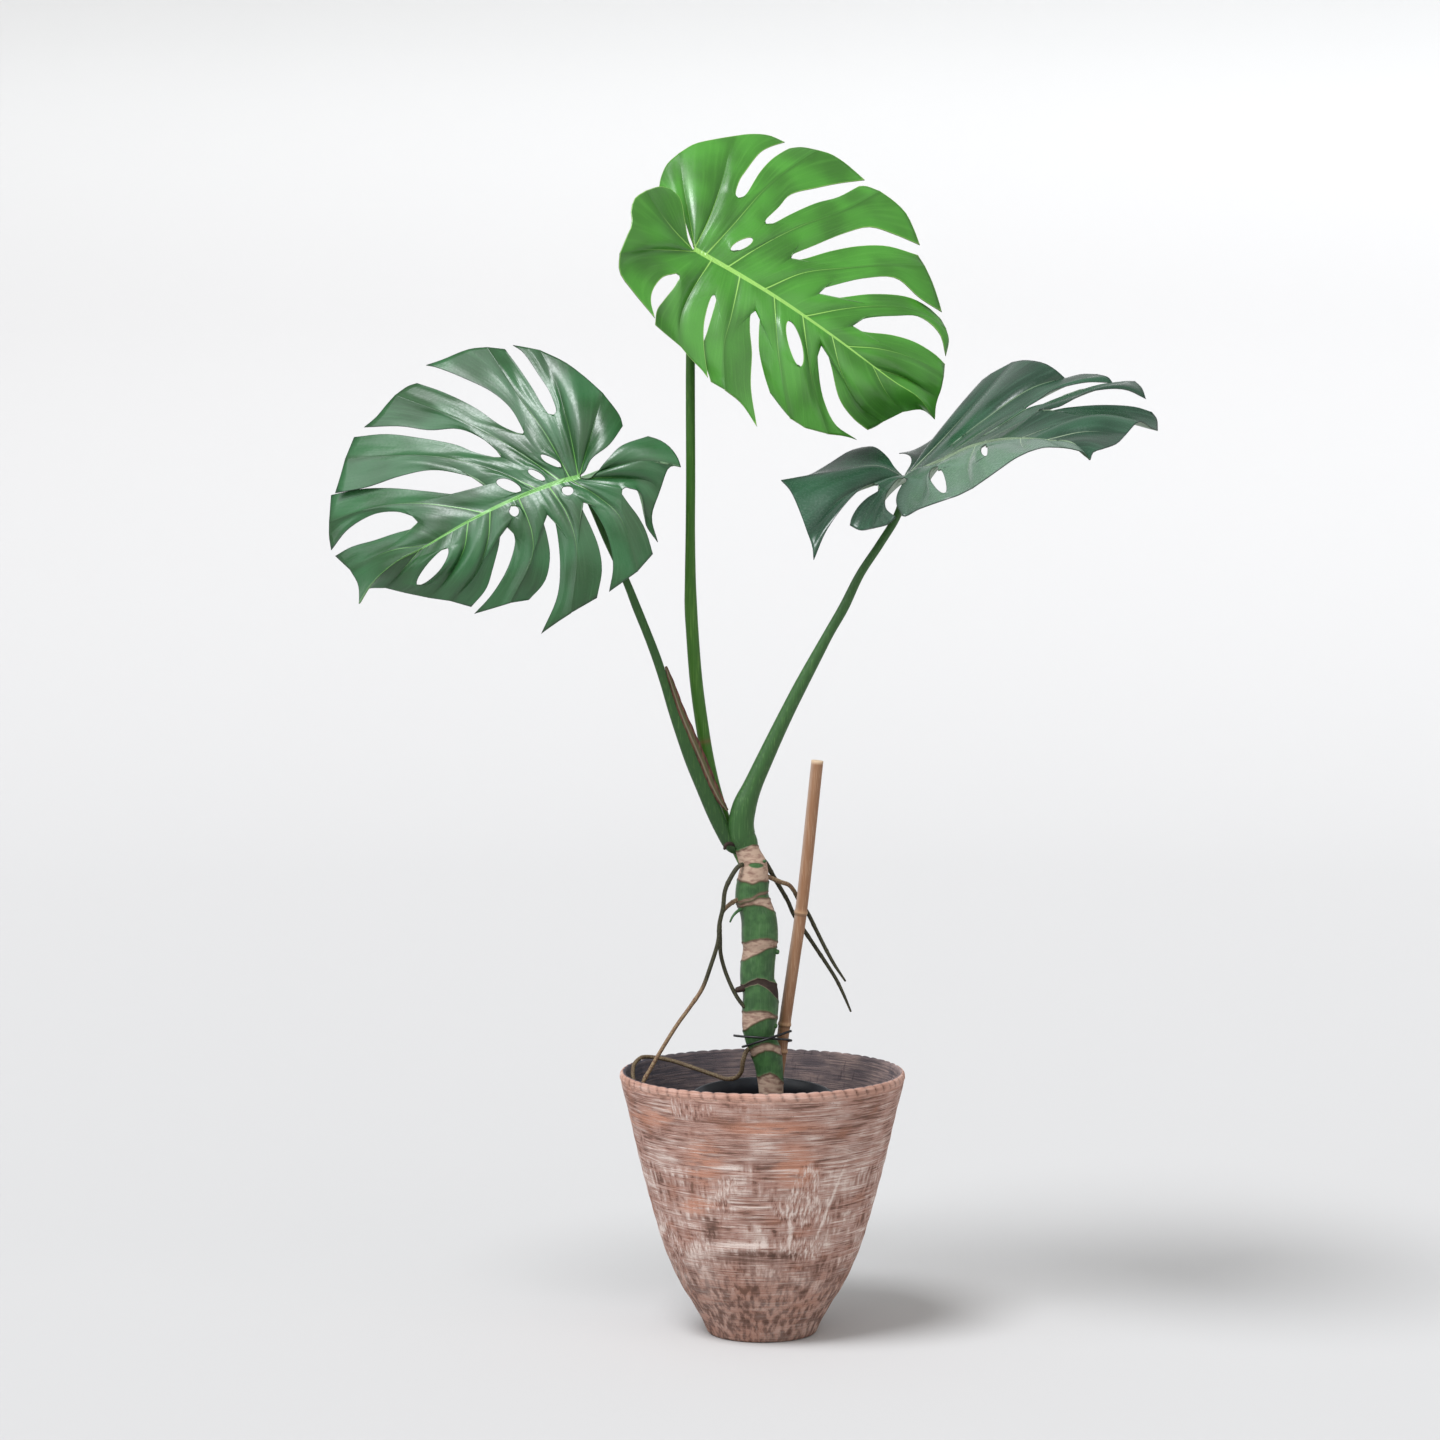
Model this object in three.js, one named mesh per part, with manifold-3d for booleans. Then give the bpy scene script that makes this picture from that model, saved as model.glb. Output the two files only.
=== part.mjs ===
// Potted monstera: three split leaves on long petioles, a staked stem with aerial
// roots, and a black grow pot of soil set inside a bell-shaped terracotta pot.
// Millimetres, +Z up, origin at the centre of the pot's foot; the front faces -Y.

import * as THREE from 'three';
import Module from 'manifold-3d';

const wasm = await Module();
wasm.setup();

// ---------------------------------------------------------------- front view
// Outlines and centre lines are points [x, y] of the front view, a square picture
// 1440 units wide in which one unit is about one millimetre at the plant.
const VIEW = {
  eye: new THREE.Vector3(-42.2, -4400, 985),
  pitchDown: THREE.MathUtils.degToRad(4.8),
  focal: 4450,
  centre: 720,
};

// ------------------------------------------------------------ driving sizes
const TOUCH_GAP = 0.35;
const BLADE_THICKNESS = 0.9;
const KEEL_DEPTH = 2.6;
const MIDRIB_HALF_WIDTH = 1.6;

const POT = {
  rimRadius: 142.5,
  height: 265,
  wall: 6.5,
  floor: 9,
  crimps: 66,
  crimpDepth: 1.6,
  // [height, outer radius] of the bell-shaped wall, foot to rim
  wallProfile: [[0, 54], [14, 60.5], [33, 71.2], [51, 82.3], [86, 97.6], [120, 108], [155, 117.5],
    [181, 124], [218, 132.3], [237, 136.8]],
  // rings of the rim band: how far in from the rim's radius and down from the top they
  // lie, and how much of the crimping they take
  rimRings: [[1.6, 9, 0], [0.6, 6.5, 1], [0.6, 2.5, 1], [3.4, 0, 0.5], [6.5, 2, 0.5]],
  // the slanting wall's thickness across is this many times the upright one
  slantThickness: 1.08,
};

const GROW_POT = {
  rimRadius: 70,
  footRadius: 50,
  height: 229,
  wall: 1.4,
  floor: 1.8,
  // the turned-out lip: how far out and down it reaches, and the step under it
  lip: 1.6,
  lipDepth: 8,
  lipStep: 0.8,
  tiltDegrees: 6,
  // middle of its foot, just clear of the outer pot's floor
  foot: [0, 0.5, 14.6],
  drainHoles: 6,
  drainHoleRadius: 6,
  drainHoleSides: 10,
  // how far out the holes lie, as a share of the foot's radius
  drainHoleReach: 0.62,
  sides: 36,
};

const SOIL = {
  depthBelowRim: 22,
  bump: 2.2,
  rings: 6,
  sides: 32,
};

const STAKE = {
  radius: 6,
  nodeRadius: 6.9,
  // front-view x, y and depth of the cut top, the nodes and the foot in the soil
  path: [[817.4, 760.6, 2], [801, 912, 5], [794, 960, 6.5], [784.6, 1024, 8.5], [781, 1051, 9],
    [776, 1090, 10.5], [771, 1150, 10.5]],
  nodes: [1, 2, 3, 4],
};

const TIE_RADIUS = 0.85;

const COLOURS = {
  terracotta: '#a77f70',
  growPot: '#1c2027',
  soil: '#3b2c22',
  stem: '#3c6434',
  petiole: '#3f6c2e',
  topLeaf: '#4f9d3b',
  leftLeaf: '#2f6b3f',
  rightLeaf: '#3f6250',
  dryHusk: '#6b3f33',
  darkRoot: '#3a3424',
  brownRoot: '#5e4238',
  stake: '#a57f68',
  tie: '#17171a',
};

// ------------------------------------------------------------------- helpers

// A point of the front view, placed at the given depth (Y).
function seen([x, y], depth) {
  const right = x - VIEW.centre;
  const up = VIEW.centre - y;
  const ray = new THREE.Vector3(
    right,
    VIEW.focal * Math.cos(VIEW.pitchDown) + up * Math.sin(VIEW.pitchDown),
    up * Math.cos(VIEW.pitchDown) - VIEW.focal * Math.sin(VIEW.pitchDown),
  );
  return VIEW.eye.clone().addScaledVector(ray, (depth - VIEW.eye.y) / ray.y);
}

const lerp = THREE.MathUtils.lerp;

// A smooth curve through flat points, sampled at a fraction of its length.
function smoothPath(points) {
  const curve = new THREE.CatmullRomCurve3(
    points.map(([x, y]) => new THREE.Vector3(x, y, 0)), false, 'centripetal');
  curve.arcLengthDivisions = 40 * points.length;
  return (s) => {
    const p = curve.getPointAt(THREE.MathUtils.clamp(s, 0, 1));
    return [p.x, p.y];
  };
}

// A triangle mesh whose shared corners are one vertex.
class Surface {
  constructor() {
    this.points = [];
    this.extra = [];
    this.faces = [];
    this.index = new Map();
  }

  vertex(point, extra = null) {
    const key = [point.x, point.y, point.z].map((c) => Math.round(c * 1000)).join();
    if (!this.index.has(key)) {
      this.index.set(key, this.points.length);
      this.points.push(point.clone());
      this.extra.push(extra);
    }
    return this.index.get(key);
  }

  face(a, b, c) {
    if (a !== b && b !== c && c !== a) this.faces.push([a, b, c]);
  }

  quad(a, b, c, d) {
    this.face(a, b, c);
    this.face(a, c, d);
  }

  geometry() {
    const geometry = new THREE.BufferGeometry();
    const positions = this.points.flatMap((p) => [p.x, p.y, p.z]);
    geometry.setAttribute('position', new THREE.Float32BufferAttribute(positions, 3));
    geometry.setIndex(this.faces.flat());
    return geometry;
  }
}

function toSolid(geometry) {
  return new wasm.Manifold(new wasm.Mesh({
    numProp: 3,
    vertProperties: new Float32Array(geometry.getAttribute('position').array),
    triVerts: new Uint32Array(geometry.getIndex().array),
  }));
}

function fromSolid(solid) {
  const mesh = solid.getMesh();
  const geometry = new THREE.BufferGeometry();
  geometry.setAttribute('position', new THREE.Float32BufferAttribute(mesh.vertProperties, 3));
  geometry.setIndex([...mesh.triVerts]);
  return geometry;
}

// What is left of a body once its neighbours are taken out of it; crumbs are dropped.
function carve(geometry, neighbours) {
  const left = neighbours.reduce((solid, other) => solid.subtract(toSolid(other)), toSolid(geometry));
  const pieces = left.decompose().sort((a, b) => b.volume() - a.volume());
  return fromSolid(pieces[0]);
}

function fuse(geometries) {
  return fromSolid(geometries.map(toSolid).reduce((all, next) => all.add(next)));
}

// Rings closed by a fan at either end; a ring may have twice the corners of the next.
function solidOfRings(rings, start, end) {
  const surface = new Surface();
  const ids = rings.map((ring) => ring.map((point) => surface.vertex(point)));
  const first = surface.vertex(start);
  const last = surface.vertex(end);
  ids[0].forEach((id, k) => surface.face(first, ids[0][(k + 1) % ids[0].length], id));
  ids.at(-1).forEach((id, k) => surface.face(last, id, ids.at(-1)[(k + 1) % ids.at(-1).length]));
  for (let i = 0; i + 1 < ids.length; i += 1) {
    const a = ids[i];
    const b = ids[i + 1];
    const steps = Math.min(a.length, b.length);
    for (let k = 0; k < steps; k += 1) {
      const n = (k + 1) % steps;
      if (a.length === b.length) {
        surface.quad(a[k], a[n], b[n], b[k]);
      } else if (b.length > a.length) {
        surface.face(a[k], a[n], b[2 * k + 1]);
        surface.face(a[k], b[2 * k + 1], b[2 * k]);
        surface.face(a[n], b[2 * n], b[2 * k + 1]);
      } else {
        surface.face(b[k], a[2 * k], a[2 * k + 1]);
        surface.face(b[k], a[2 * k + 1], b[n]);
        surface.face(b[n], a[2 * k + 1], a[2 * n]);
      }
    }
  }
  return surface.geometry();
}

// Size and place of the ring that rounds off a limb's end, as shares of its last one.
const END_RING = 0.7;

// A round body along a centre line. Each station is [x, y, depth, half width] of the
// front view; flatness is the ratio of its depth to its width, grow adds to the radius.
function limb(stations, { steps = 4, sides = 10, flatness = 1, grow = 0, blunt = 0.6 } = {}) {
  const curve = new THREE.CatmullRomCurve3(
    stations.map(([x, y, depth]) => seen([x, y], depth)), false, 'centripetal');
  const count = steps * (stations.length - 1);
  const radiusAt = (t) => {
    const i = Math.min(Math.floor(t * (stations.length - 1)), stations.length - 2);
    return lerp(stations[i][3], stations[i + 1][3], t * (stations.length - 1) - i) + grow;
  };
  let normal = new THREE.Vector3(1, 0, 0);
  const ringAt = (t, radius, shift) => {
    const tangent = curve.getTangent(t);
    normal.addScaledVector(tangent, -normal.dot(tangent)).normalize();
    const binormal = tangent.clone().cross(normal);
    const centre = curve.getPoint(t).addScaledVector(tangent, shift);
    return Array.from({ length: sides }, (_, k) => {
      const angle = (2 * Math.PI * k) / sides;
      return centre.clone()
        .addScaledVector(normal, radius * Math.cos(angle))
        .addScaledVector(binormal, radius * flatness * Math.sin(angle));
    });
  };
  const reach = (t) => (radiusAt(t) - grow) * blunt + grow;
  const rings = [ringAt(0, radiusAt(0) * END_RING, -reach(0) * END_RING)];
  for (let i = 0; i <= count; i += 1) rings.push(ringAt(i / count, radiusAt(i / count), 0));
  rings.push(ringAt(1, radiusAt(1) * END_RING, reach(1) * END_RING));
  const start = curve.getPoint(0).addScaledVector(curve.getTangent(0), -reach(0));
  const end = curve.getPoint(1).addScaledVector(curve.getTangent(1), reach(1));
  return solidOfRings(rings, start, end);
}

// ------------------------------------------------------------- leaf outlines
// Half a leaf is the list of its lines from the notch at the stalk to the tip. Each
// line runs from the midrib to the margin, and the margin points before it lead there.
// away is how far its outer end lies behind the midrib's plane, and a slit has one for
// each of its lips where they overlap. A hole is [start, end, half width], as fractions,
// and root is the radius of the round inner end of a slit. A blade arches by arch from
// its midrib to its margin, and by pillow or swell more between its veins: by pillow
// towards the front, and by swell square to the blade.
const edge = (path, away) => ({ margin: [], path, away, crest: 1 });
const vein = (margin, path, away) => ({ margin, path, away, crest: 0 });
const seam = (margin, path, away) => ({ margin, path, away, crest: 1 });
const hole = (margin, path, opening, away) => ({ margin, path, opening, away, crest: 1 });
const slit = (margin, path, opening, basal, apical, away, root) => (
  { margin, path, opening, basal, apical, away, root, crest: 1 });
const tip = (margin) => ({ margin, isTip: true, crest: 1 });

const TOP_LEAF = {
  upperSide: 1,
  joint: [694, 249],
  depth: 30,
  slope: { right: 0.40, up: 0.57 },
  midrib: [[694, 249], [740, 275], [780, 299.5], [833, 336], [895, 382], [918, 397], [935, 419.5]],
  midribAway: [0, -14, -10, 22],
  arch: 5,
  pillow: 8,
  swell: 0,
  upperHalf: [
    edge([[694, 249], [691, 238], [686, 224], [676, 206], [659, 187]], 26),
    vein([[661, 177], [667, 164]], [[694, 249], [690, 222], [684, 190], [679, 153]], 22),
    vein([[694, 144], [715, 139]], [[695, 248], [707, 223], [720, 188], [733, 136]], 16),
    slit([[749, 134], [768, 135]], [[701, 252], [722, 222], [738.4, 197.7]], null,
      [[740, 180], [746, 171], [761, 152], [772, 146], [785, 142]],
      [[747, 193], [760, 172], [772, 159], [784, 151], [790, 148]], 18, 4.7),
    vein([[802, 147]], [[707, 252], [733, 225], [768, 186], [803, 159], [818, 150]], 8),
    slit([[831, 154], [844, 162], [856, 172]], [[717, 261], [733, 249], [753, 238], [766, 223.6]],
      [0.28, 0.68, 4.5],
      [[779, 207], [790, 195], [816, 188], [841, 183], [865, 180]],
      [[776, 222], [789, 215], [816, 203], [838, 197], [859, 186]], 16, 3.2),
    vein([[866, 186]], [[729, 267], [761, 246], [803, 225], [845, 210], [880, 191]], 8),
    slit([[894, 201], [906, 213], [914, 229]], [[750, 281], [772, 270], [791.2, 258]], null,
      [[813, 246], [845, 233], [870, 227], [894, 234], [920, 245]],
      [[803, 259], [831, 251], [859, 246], [887, 246], [918, 255]], 18, 3),
    vein([], [[765, 290], [803, 273], [845, 268], [890, 265], [925, 266]], 10),
    slit([[932, 281], [938, 298]], [[792, 307], [819.4, 293.5]], null,
      [[835, 285], [866, 278], [896, 278], [920, 298], [942, 312]],
      [[835, 298], [872, 294], [908, 297], [928, 307], [941, 319]], [10, 20], 4.5),
    vein([], [[806, 317], [843, 309], [880, 306], [915, 310], [946, 328]], 14),
    slit([[949, 340]], [[826, 331], [853, 326]], null,
      [[868, 318], [895, 316], [920, 317], [940, 334], [946, 356]],
      [[866, 332], [892, 335], [915, 342], [936, 355], [945, 364]], [14, 22], 4.5),
    vein([], [[848, 347], [880, 349], [912, 358], [944, 376]], 18),
    vein([[941, 390]], [[878, 370], [905, 378], [925, 390], [938, 398]], 20),
    tip([[936, 406]]),
  ],
  lowerHalf: [
    edge([[694, 249], [688.5, 240], [685, 220], [680, 198], [671, 189]], -8),
    vein([[660, 186.4]], [[694, 250], [672, 228], [655, 205], [646, 190.4]], -34),
    vein([[635, 198], [631, 211], [632, 223], [626, 238]],
      [[696, 251], [671, 250], [641, 250], [620, 253]], -40),
    slit([[620, 272], [633, 291], [651, 313]], [[701, 254], [679.3, 275]], null,
      [[663, 277], [653, 290], [651, 301], [655, 318]],
      [[675, 286], [664, 300], [657, 310], [655, 325]], [-22, 12], 4),
    vein([[663, 332]], [[711, 261], [691, 292], [680, 320], [681, 347]], 8),
    slit([[691, 359], [701, 369]], [[723, 266], [714.8, 295.2]], null,
      [[708, 306], [704, 325], [704, 345], [708, 378]],
      [[714, 308], [707, 332], [702, 350], [711, 382]], [6, 16], 2.6),
    vein([], [[740.5, 276.5], [731, 317], [724, 346], [725, 390]], 8),
    slit([[741, 403]], [[757, 286], [755.4, 311]], null,
      [[750, 330], [752, 352], [751, 387], [757, 427]],
      [[759, 328], [759, 350], [764, 374], [770, 393]], 18, 4.9),
    vein([[783, 410]], [[774, 298], [776, 325], [780, 365], [790, 418]], 10),
    hole([], [[788, 305], [789, 320], [800, 364], [805, 428]], [0.12, 0.5, 6.5], 14),
    vein([], [[802, 316], [807, 350], [814, 390], [828, 434]], 12),
    slit([[844, 436]], [[817, 326], [821.3, 346]], null,
      [[818, 362], [823, 397], [836, 425], [857, 440]],
      [[831, 366], [840, 400], [854, 419], [868, 430]], [20, 24], 4),
    vein([[875, 427]], [[832, 337], [842, 374], [860, 405], [883, 422]], 16),
    vein([], [[872, 366], [886, 392], [903, 412]], 18),
    tip([[922, 410]]),
  ],
};

const LEFT_LEAF = {
  upperSide: -1,
  joint: [580, 477],
  depth: -20,
  slope: { right: -0.23, up: 0.41 },
  midrib: [[580, 477], [557, 482.5], [507, 502], [468, 521.5], [420, 549.5], [398, 560.5], [373, 582],
    [359, 604]],
  midribAway: [0, -12, -6, 26],
  arch: 6,
  pillow: 8,
  swell: 0,
  upperHalf: [
    edge([[580, 477], [584, 472], [591, 459], [610, 444], [623, 426]], 14),
    vein([[620, 416]], [[581, 475], [592, 432], [603, 393]], 12),
    vein([[584, 376], [565, 362]], [[579, 477], [568, 424], [556, 382], [540, 350]], 12),
    slit([[525, 347]], [[575, 478], [565, 445], [553.6, 414.6]], null,
      [[549, 391], [540, 377], [522, 351], [513, 345]],
      [[541, 403], [533, 389], [519, 368], [505, 349]], 20, 4.7),
    vein([], [[570, 479], [545, 433], [519, 396], [487, 347]], 12),
    slit([[469, 349], [441, 360]], [[566, 480], [562, 468], [541.3, 455], [523, 433.6]], [0.19, 0.57, 3.5],
      [[511, 409], [492, 392], [464, 378], [436, 367], [426, 365]],
      [[502, 426], [474, 407], [443, 392], [417, 383]], 22, 2.5),
    vein([[408, 386]], [[559, 481], [508, 445], [460, 420], [395, 395]], 14),
    slit([[386, 405], [376, 417]], [[549, 484], [545, 480], [529, 470.5], [501, 457]], [0.1, 0.46, 3.5],
      [[484, 440], [459, 429], [429, 430], [400, 426], [364, 427]],
      [[474, 452], [457, 445], [421, 438], [386, 434], [354, 437]], 22, 2),
    vein([], [[536, 490], [508, 476], [467, 462], [418, 455], [345, 459]], 14),
    slit([[340, 477]], [[526, 494], [522, 491], [496, 482], [487.6, 488.4]], [0.1, 0.74, 5.6],
      [[464, 475], [432, 470], [400, 476], [367, 487], [335, 493]],
      [[464, 495], [425, 491], [390, 488], [360, 489], [331, 495]], [14, 24], 6.5),
    vein([], [[483, 513], [460, 508], [411, 503], [370, 508], [329, 522]], 18),
    slit([[329, 536]], [[441, 537], [417.6, 522.3]], null,
      [[398, 512], [375, 514], [348, 529], [331, 550]],
      [[396, 533], [375, 540], [351, 547], [335, 556]], 26, 6.5),
    vein([], [[426, 546], [390, 551], [350, 570]], 24),
    tip([[358, 585]]),
  ],
  lowerHalf: [
    edge([[580, 477], [591, 478], [605, 462], [621, 446], [648, 436]], 16),
    vein([[660, 440], [670, 447], [678, 458]], [[585, 478], [608, 469], [648, 461], [681, 467]], 12),
    vein([[674, 466], [669, 468]], [[581, 479], [627, 478], [650, 482], [660, 491]], 14),
    slit([[652, 517]], [[577, 480], [600, 484], [622.5, 489.3]], null,
      [[640, 492], [645, 512], [647, 526], [658, 542]],
      [[629, 504], [638, 516], [646, 531], [653, 554]], 18, 5),
    vein([], [[572, 481], [601, 499], [620, 517], [638, 571]], 12),
    slit([[627, 579]], [[562, 484], [565, 488.5], [572, 492.6], [583.6, 502.6]], [0.14, 0.52, 5],
      [[597, 515], [607, 535], [613, 565], [609, 592]],
      [[591, 527], [599, 548], [602, 570], [597, 598]], 18, 4),
    vein([], [[549, 487], [567, 514], [577, 550], [571, 613]], 12),
    slit([[556, 623]], [[534, 491], [547.4, 515]], null,
      [[557, 532], [560, 567], [557, 597], [541, 634]],
      [[547, 535], [550, 556], [545, 581], [529, 600]], 20, 5.5),
    vein([], [[519, 499], [532, 533], [532, 558], [510, 603]], 12),
    slit([[491, 609]], [[507, 504], [512.6, 507], [514, 515], [507.3, 527.6]], [0.16, 0.56, 5],
      [[515, 542], [508, 567], [492, 594], [474, 614]],
      [[499, 545], [493, 568], [486, 589], [471, 607]], 20, 6.5),
    vein([], [[491, 511], [488, 540], [475, 575], [450, 601]], 14),
    vein([], [[469, 523], [463, 552], [443, 583], [429, 598]], 16),
    hole([], [[453, 532], [446, 550], [416, 586], [405, 593]], [0.22, 0.82, 6.5], 20),
    vein([], [[420, 550], [400, 573], [385, 588]], 24),
    tip([[366, 590]]),
  ],
};

const RIGHT_LEAF = {
  upperSide: 1,
  joint: [905, 477],
  depth: 20,
  slope: { right: 0, up: 0 },
  midrib: [[905, 477], [943, 459], [970, 446.5], [1004, 439], [1042, 439.3], [1069, 445], [1090, 460]],
  midribAway: [0, -80, -185, -272],
  arch: 0,
  pillow: 0,
  swell: 5,
  upperHalf: [
    edge([[905, 477], [912, 468], [911, 461], [905, 456], [899, 453]], 80),
    vein([[913, 450], [931, 440]], [[907, 475], [918, 462], [935, 445], [949, 423]], 118),
    vein([[967, 398], [983, 379]], [[910, 473], [945, 437], [985, 392], [1012, 362]], 84),
    seam([[1024, 360], [1044, 363], [1056, 370]], [[930, 465], [985, 425], [1030, 392], [1065, 378]], 10),
    vein([[1081, 374]], [[945, 458], [1000, 421], [1060, 388], [1097, 374]], -28),
    slit([[1108, 377]], [[962, 450], [1000, 431], [1029, 413]], null,
      [[1040, 403], [1056, 392], [1086, 383], [1113, 383]],
      [[1047, 407], [1068, 398], [1090, 389], [1115, 384]], [-56, -60], 2.5),
    vein([[1124, 381]], [[985, 442], [1040, 413], [1097, 389], [1135, 381]], -82),
    slit([[1142, 388]], [[1004, 439], [1024, 427], [1041, 415]], null,
      [[1061, 409], [1097, 392], [1125, 390], [1146, 399]],
      [[1062, 411], [1100, 406], [1135, 407], [1152, 412]], [-120, -128], 2.5),
    vein([[1157, 419]], [[1022, 438.6], [1060, 425], [1110, 419], [1158, 430]], -160),
    vein([[1152, 428], [1140, 421]], [[1048, 440.5], [1085, 432], [1126, 434]], -216),
    tip([[1117, 443], [1104, 448], [1093, 452]]),
  ],
  lowerHalf: [
    edge([[905, 477], [895, 472], [888, 461], [876, 450], [862, 447]], 54),
    vein([[849, 451], [825, 466], [806, 476]], [[904, 478], [880, 466], [840, 470], [781, 480]], -22),
    vein([[790, 490], [800, 512]], [[905, 478], [875, 484], [840, 500], [808, 534]], -84),
    slit([[812, 546]], [[911, 474], [895, 480], [878, 489]], null,
      [[863, 492], [842, 511], [824, 535], [814, 560]],
      [[866, 499], [857, 508], [851, 519], [850, 525]], -102, 3),
    vein([[860, 530]], [[922, 469], [897, 486], [880, 506], [873, 528]], -132),
    slit([[888, 524]], [[933, 464], [918, 472], [905, 482]], null,
      [[895, 488], [888, 498], [887, 509], [896, 517]],
      [[900, 489], [896, 497], [896, 505], [902, 515]], -152, 3),
    vein([[905, 516]], [[944, 458.5], [930, 478], [918, 509]], -172),
    hole([[926, 506]], [[954, 454], [939, 473], [942, 488], [949, 498]], [0.42, 0.9, 6.4], -198),
    vein([[958, 495]], [[975, 445], [968, 468], [972, 488]], -222),
    hole([[985, 479]], [[994, 441], [987, 450], [990, 462], [999, 469]], [0.25, 0.6, 2.9], -244),
    vein([[1015, 458]], [[1020, 438.6], [1022, 446], [1029, 451]], -266),
    vein([[1044, 447]], [[1048, 440.5], [1055, 444], [1062, 447]], -270),
    tip([[1074, 449], [1085, 453]]),
  ],
};

// -------------------------------------------------------------- leaf surface
const LEAF_ROWS_IN = 5;
const LEAF_ROWS_OUT = 5;
const LEAF_ROWS = LEAF_ROWS_IN + LEAF_ROWS_OUT;
const LEAF_COLUMNS = 2;
// the root of a slit lies at this share of the way from midrib to margin
const ROOT_REACH = 0.55;
// rows along a lip crowd towards its root
const LIP_EASING = 1.6;
// crest of a strip that lies between two veins
const VEIN_TO_VEIN_CREST = 0.6;

// Where a quarter circle from the root of a slit bends and where it meets a lip.
function slitShoulder({ path, basal, apical, root }, lip) {
  const end = path.at(-1);
  const span = [0, 1].map((k) => (basal[0][k] + apical[0][k]) / 2 - end[k]);
  const ahead = span.map((c) => c / Math.hypot(...span));
  const beside = [-ahead[1], ahead[0]];
  const sign = Math.sign(beside[0] * (lip[0][0] - end[0]) + beside[1] * (lip[0][1] - end[1]));
  const mouth = Math.hypot(basal[0][0] - apical[0][0], basal[0][1] - apical[0][1]);
  const radius = Math.min(root, mouth / 2);
  const at = (along, aside) => end.map(
    (c, k) => c + radius * (along * ahead[k] + sign * aside * beside[k]));
  return [at(1 - Math.SQRT1_2, Math.SQRT1_2), at(1, 1)];
}

// The two sides of one line as rows of points from the midrib to the margin, and how
// far along each row lies.
function lineSides(line, midrib, side) {
  const foot = line.isTip ? 1 : footFraction(line.path[0], midrib);
  const start = midribSide(midrib, foot, side);
  if (line.isTip) {
    const rows = Array.from({ length: LEAF_ROWS + 1 }, () => midrib(1));
    return { foot, basal: rows, apical: rows, reach: rows.map(() => 1) };
  }
  const inner = smoothPath([start, ...line.path.slice(1)]);
  const innerRows = line.basal ? LEAF_ROWS_IN : LEAF_ROWS;
  const stops = Array.from({ length: innerRows + 1 }, (_, i) => i / innerRows);
  let first = 0;
  let last = 0;
  if (line.opening) {
    const [from, to] = line.opening;
    first = Math.max(1, Math.round(from * innerRows));
    last = Math.min(innerRows - 1, Math.max(first + 3, Math.round(to * innerRows)));
    for (let i = 0; i <= innerRows; i += 1) {
      if (i <= first) stops[i] = (from * i) / first;
      else if (i <= last) stops[i] = lerp(from, to, (i - first) / (last - first));
      else stops[i] = lerp(to, 1, (i - last) / (innerRows - last));
    }
  }
  const across = (i) => {
    if (!line.opening || i <= first || i >= last) return [0, 0];
    const ahead = inner(stops[i] + 0.02);
    const behind = inner(stops[i] - 0.02);
    const dx = ahead[0] - behind[0];
    const dy = ahead[1] - behind[1];
    const toTip = midrib(1).map((c, k) => c - midrib(0)[k]);
    const sign = Math.sign(-dy * toTip[0] + dx * toTip[1]) || 1;
    const half = line.opening[2] * Math.sin((Math.PI * (i - first)) / (last - first)) ** 0.5;
    const scale = (sign * half) / Math.hypot(dx, dy);
    return [-dy * scale, dx * scale];
  };
  const eased = Array.from({ length: LEAF_ROWS_OUT }, (_, i) => ((i + 1) / LEAF_ROWS_OUT) ** LIP_EASING);
  const rowsOf = (sign, lip) => {
    const rows = stops.map((s, i) => inner(s).map((c, k) => c + sign * across(i)[k]));
    if (!lip) return rows;
    const outer = smoothPath([line.path.at(-1), ...slitShoulder(line, lip), ...lip]);
    return [...rows, ...eased.map(outer)];
  };
  const reach = line.basal
    ? [...stops.map((s) => s * ROOT_REACH), ...eased.map((s) => lerp(ROOT_REACH, 1, s))]
    : stops;
  return { foot, basal: rowsOf(-1, line.basal), apical: rowsOf(1, line.apical), reach };
}

function footFraction([x, y], midrib) {
  let best = 0;
  let least = Infinity;
  for (let i = 0; i <= 200; i += 1) {
    const [mx, my] = midrib(i / 200);
    const distance = Math.hypot(mx - x, my - y);
    if (distance < least) {
      least = distance;
      best = i / 200;
    }
  }
  return best;
}

// A point on one side of the midrib band, which narrows to nothing at the tip.
function midribSide(midrib, s, side) {
  const ahead = midrib(s + 0.01);
  const behind = midrib(s - 0.01);
  const dx = ahead[0] - behind[0];
  const dy = ahead[1] - behind[1];
  const offset = (side * MIDRIB_HALF_WIDTH * (1 - s)) / Math.hypot(dx, dy);
  const [x, y] = midrib(s);
  return [x + dy * offset, y - dx * offset];
}

function cubic([a, b, c, d], s) {
  const curve = new THREE.CatmullRomCurve3([a, b, c, d].map((v, k) => new THREE.Vector3(k, v, 0)));
  return curve.getPoint(s).y;
}

// How far behind the midrib's plane a lip of a line ends.
function lipAway(line, lip) {
  return Array.isArray(line.away) ? line.away[lip] : line.away;
}

// The same for one of its rows: both lips run together as far as the root of the slit.
function rowAway(line, atFoot, atEnd, reach) {
  if (line.isTip) return atEnd;
  const middle = (lipAway(line, 0) + lipAway(line, 1)) / 2;
  const parting = Math.max(0, (reach - ROOT_REACH) / (1 - ROOT_REACH));
  return lerp(atFoot, middle, reach) + (atEnd - middle) * parting;
}

// How near a place across a strip is to a crest: 0 on a vein, 1 on a slit or seam.
function crestAt(from, to, q) {
  return from + to === 0 ? VEIN_TO_VEIN_CREST * 4 * q * (1 - q) : lerp(from, to, q);
}

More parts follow.
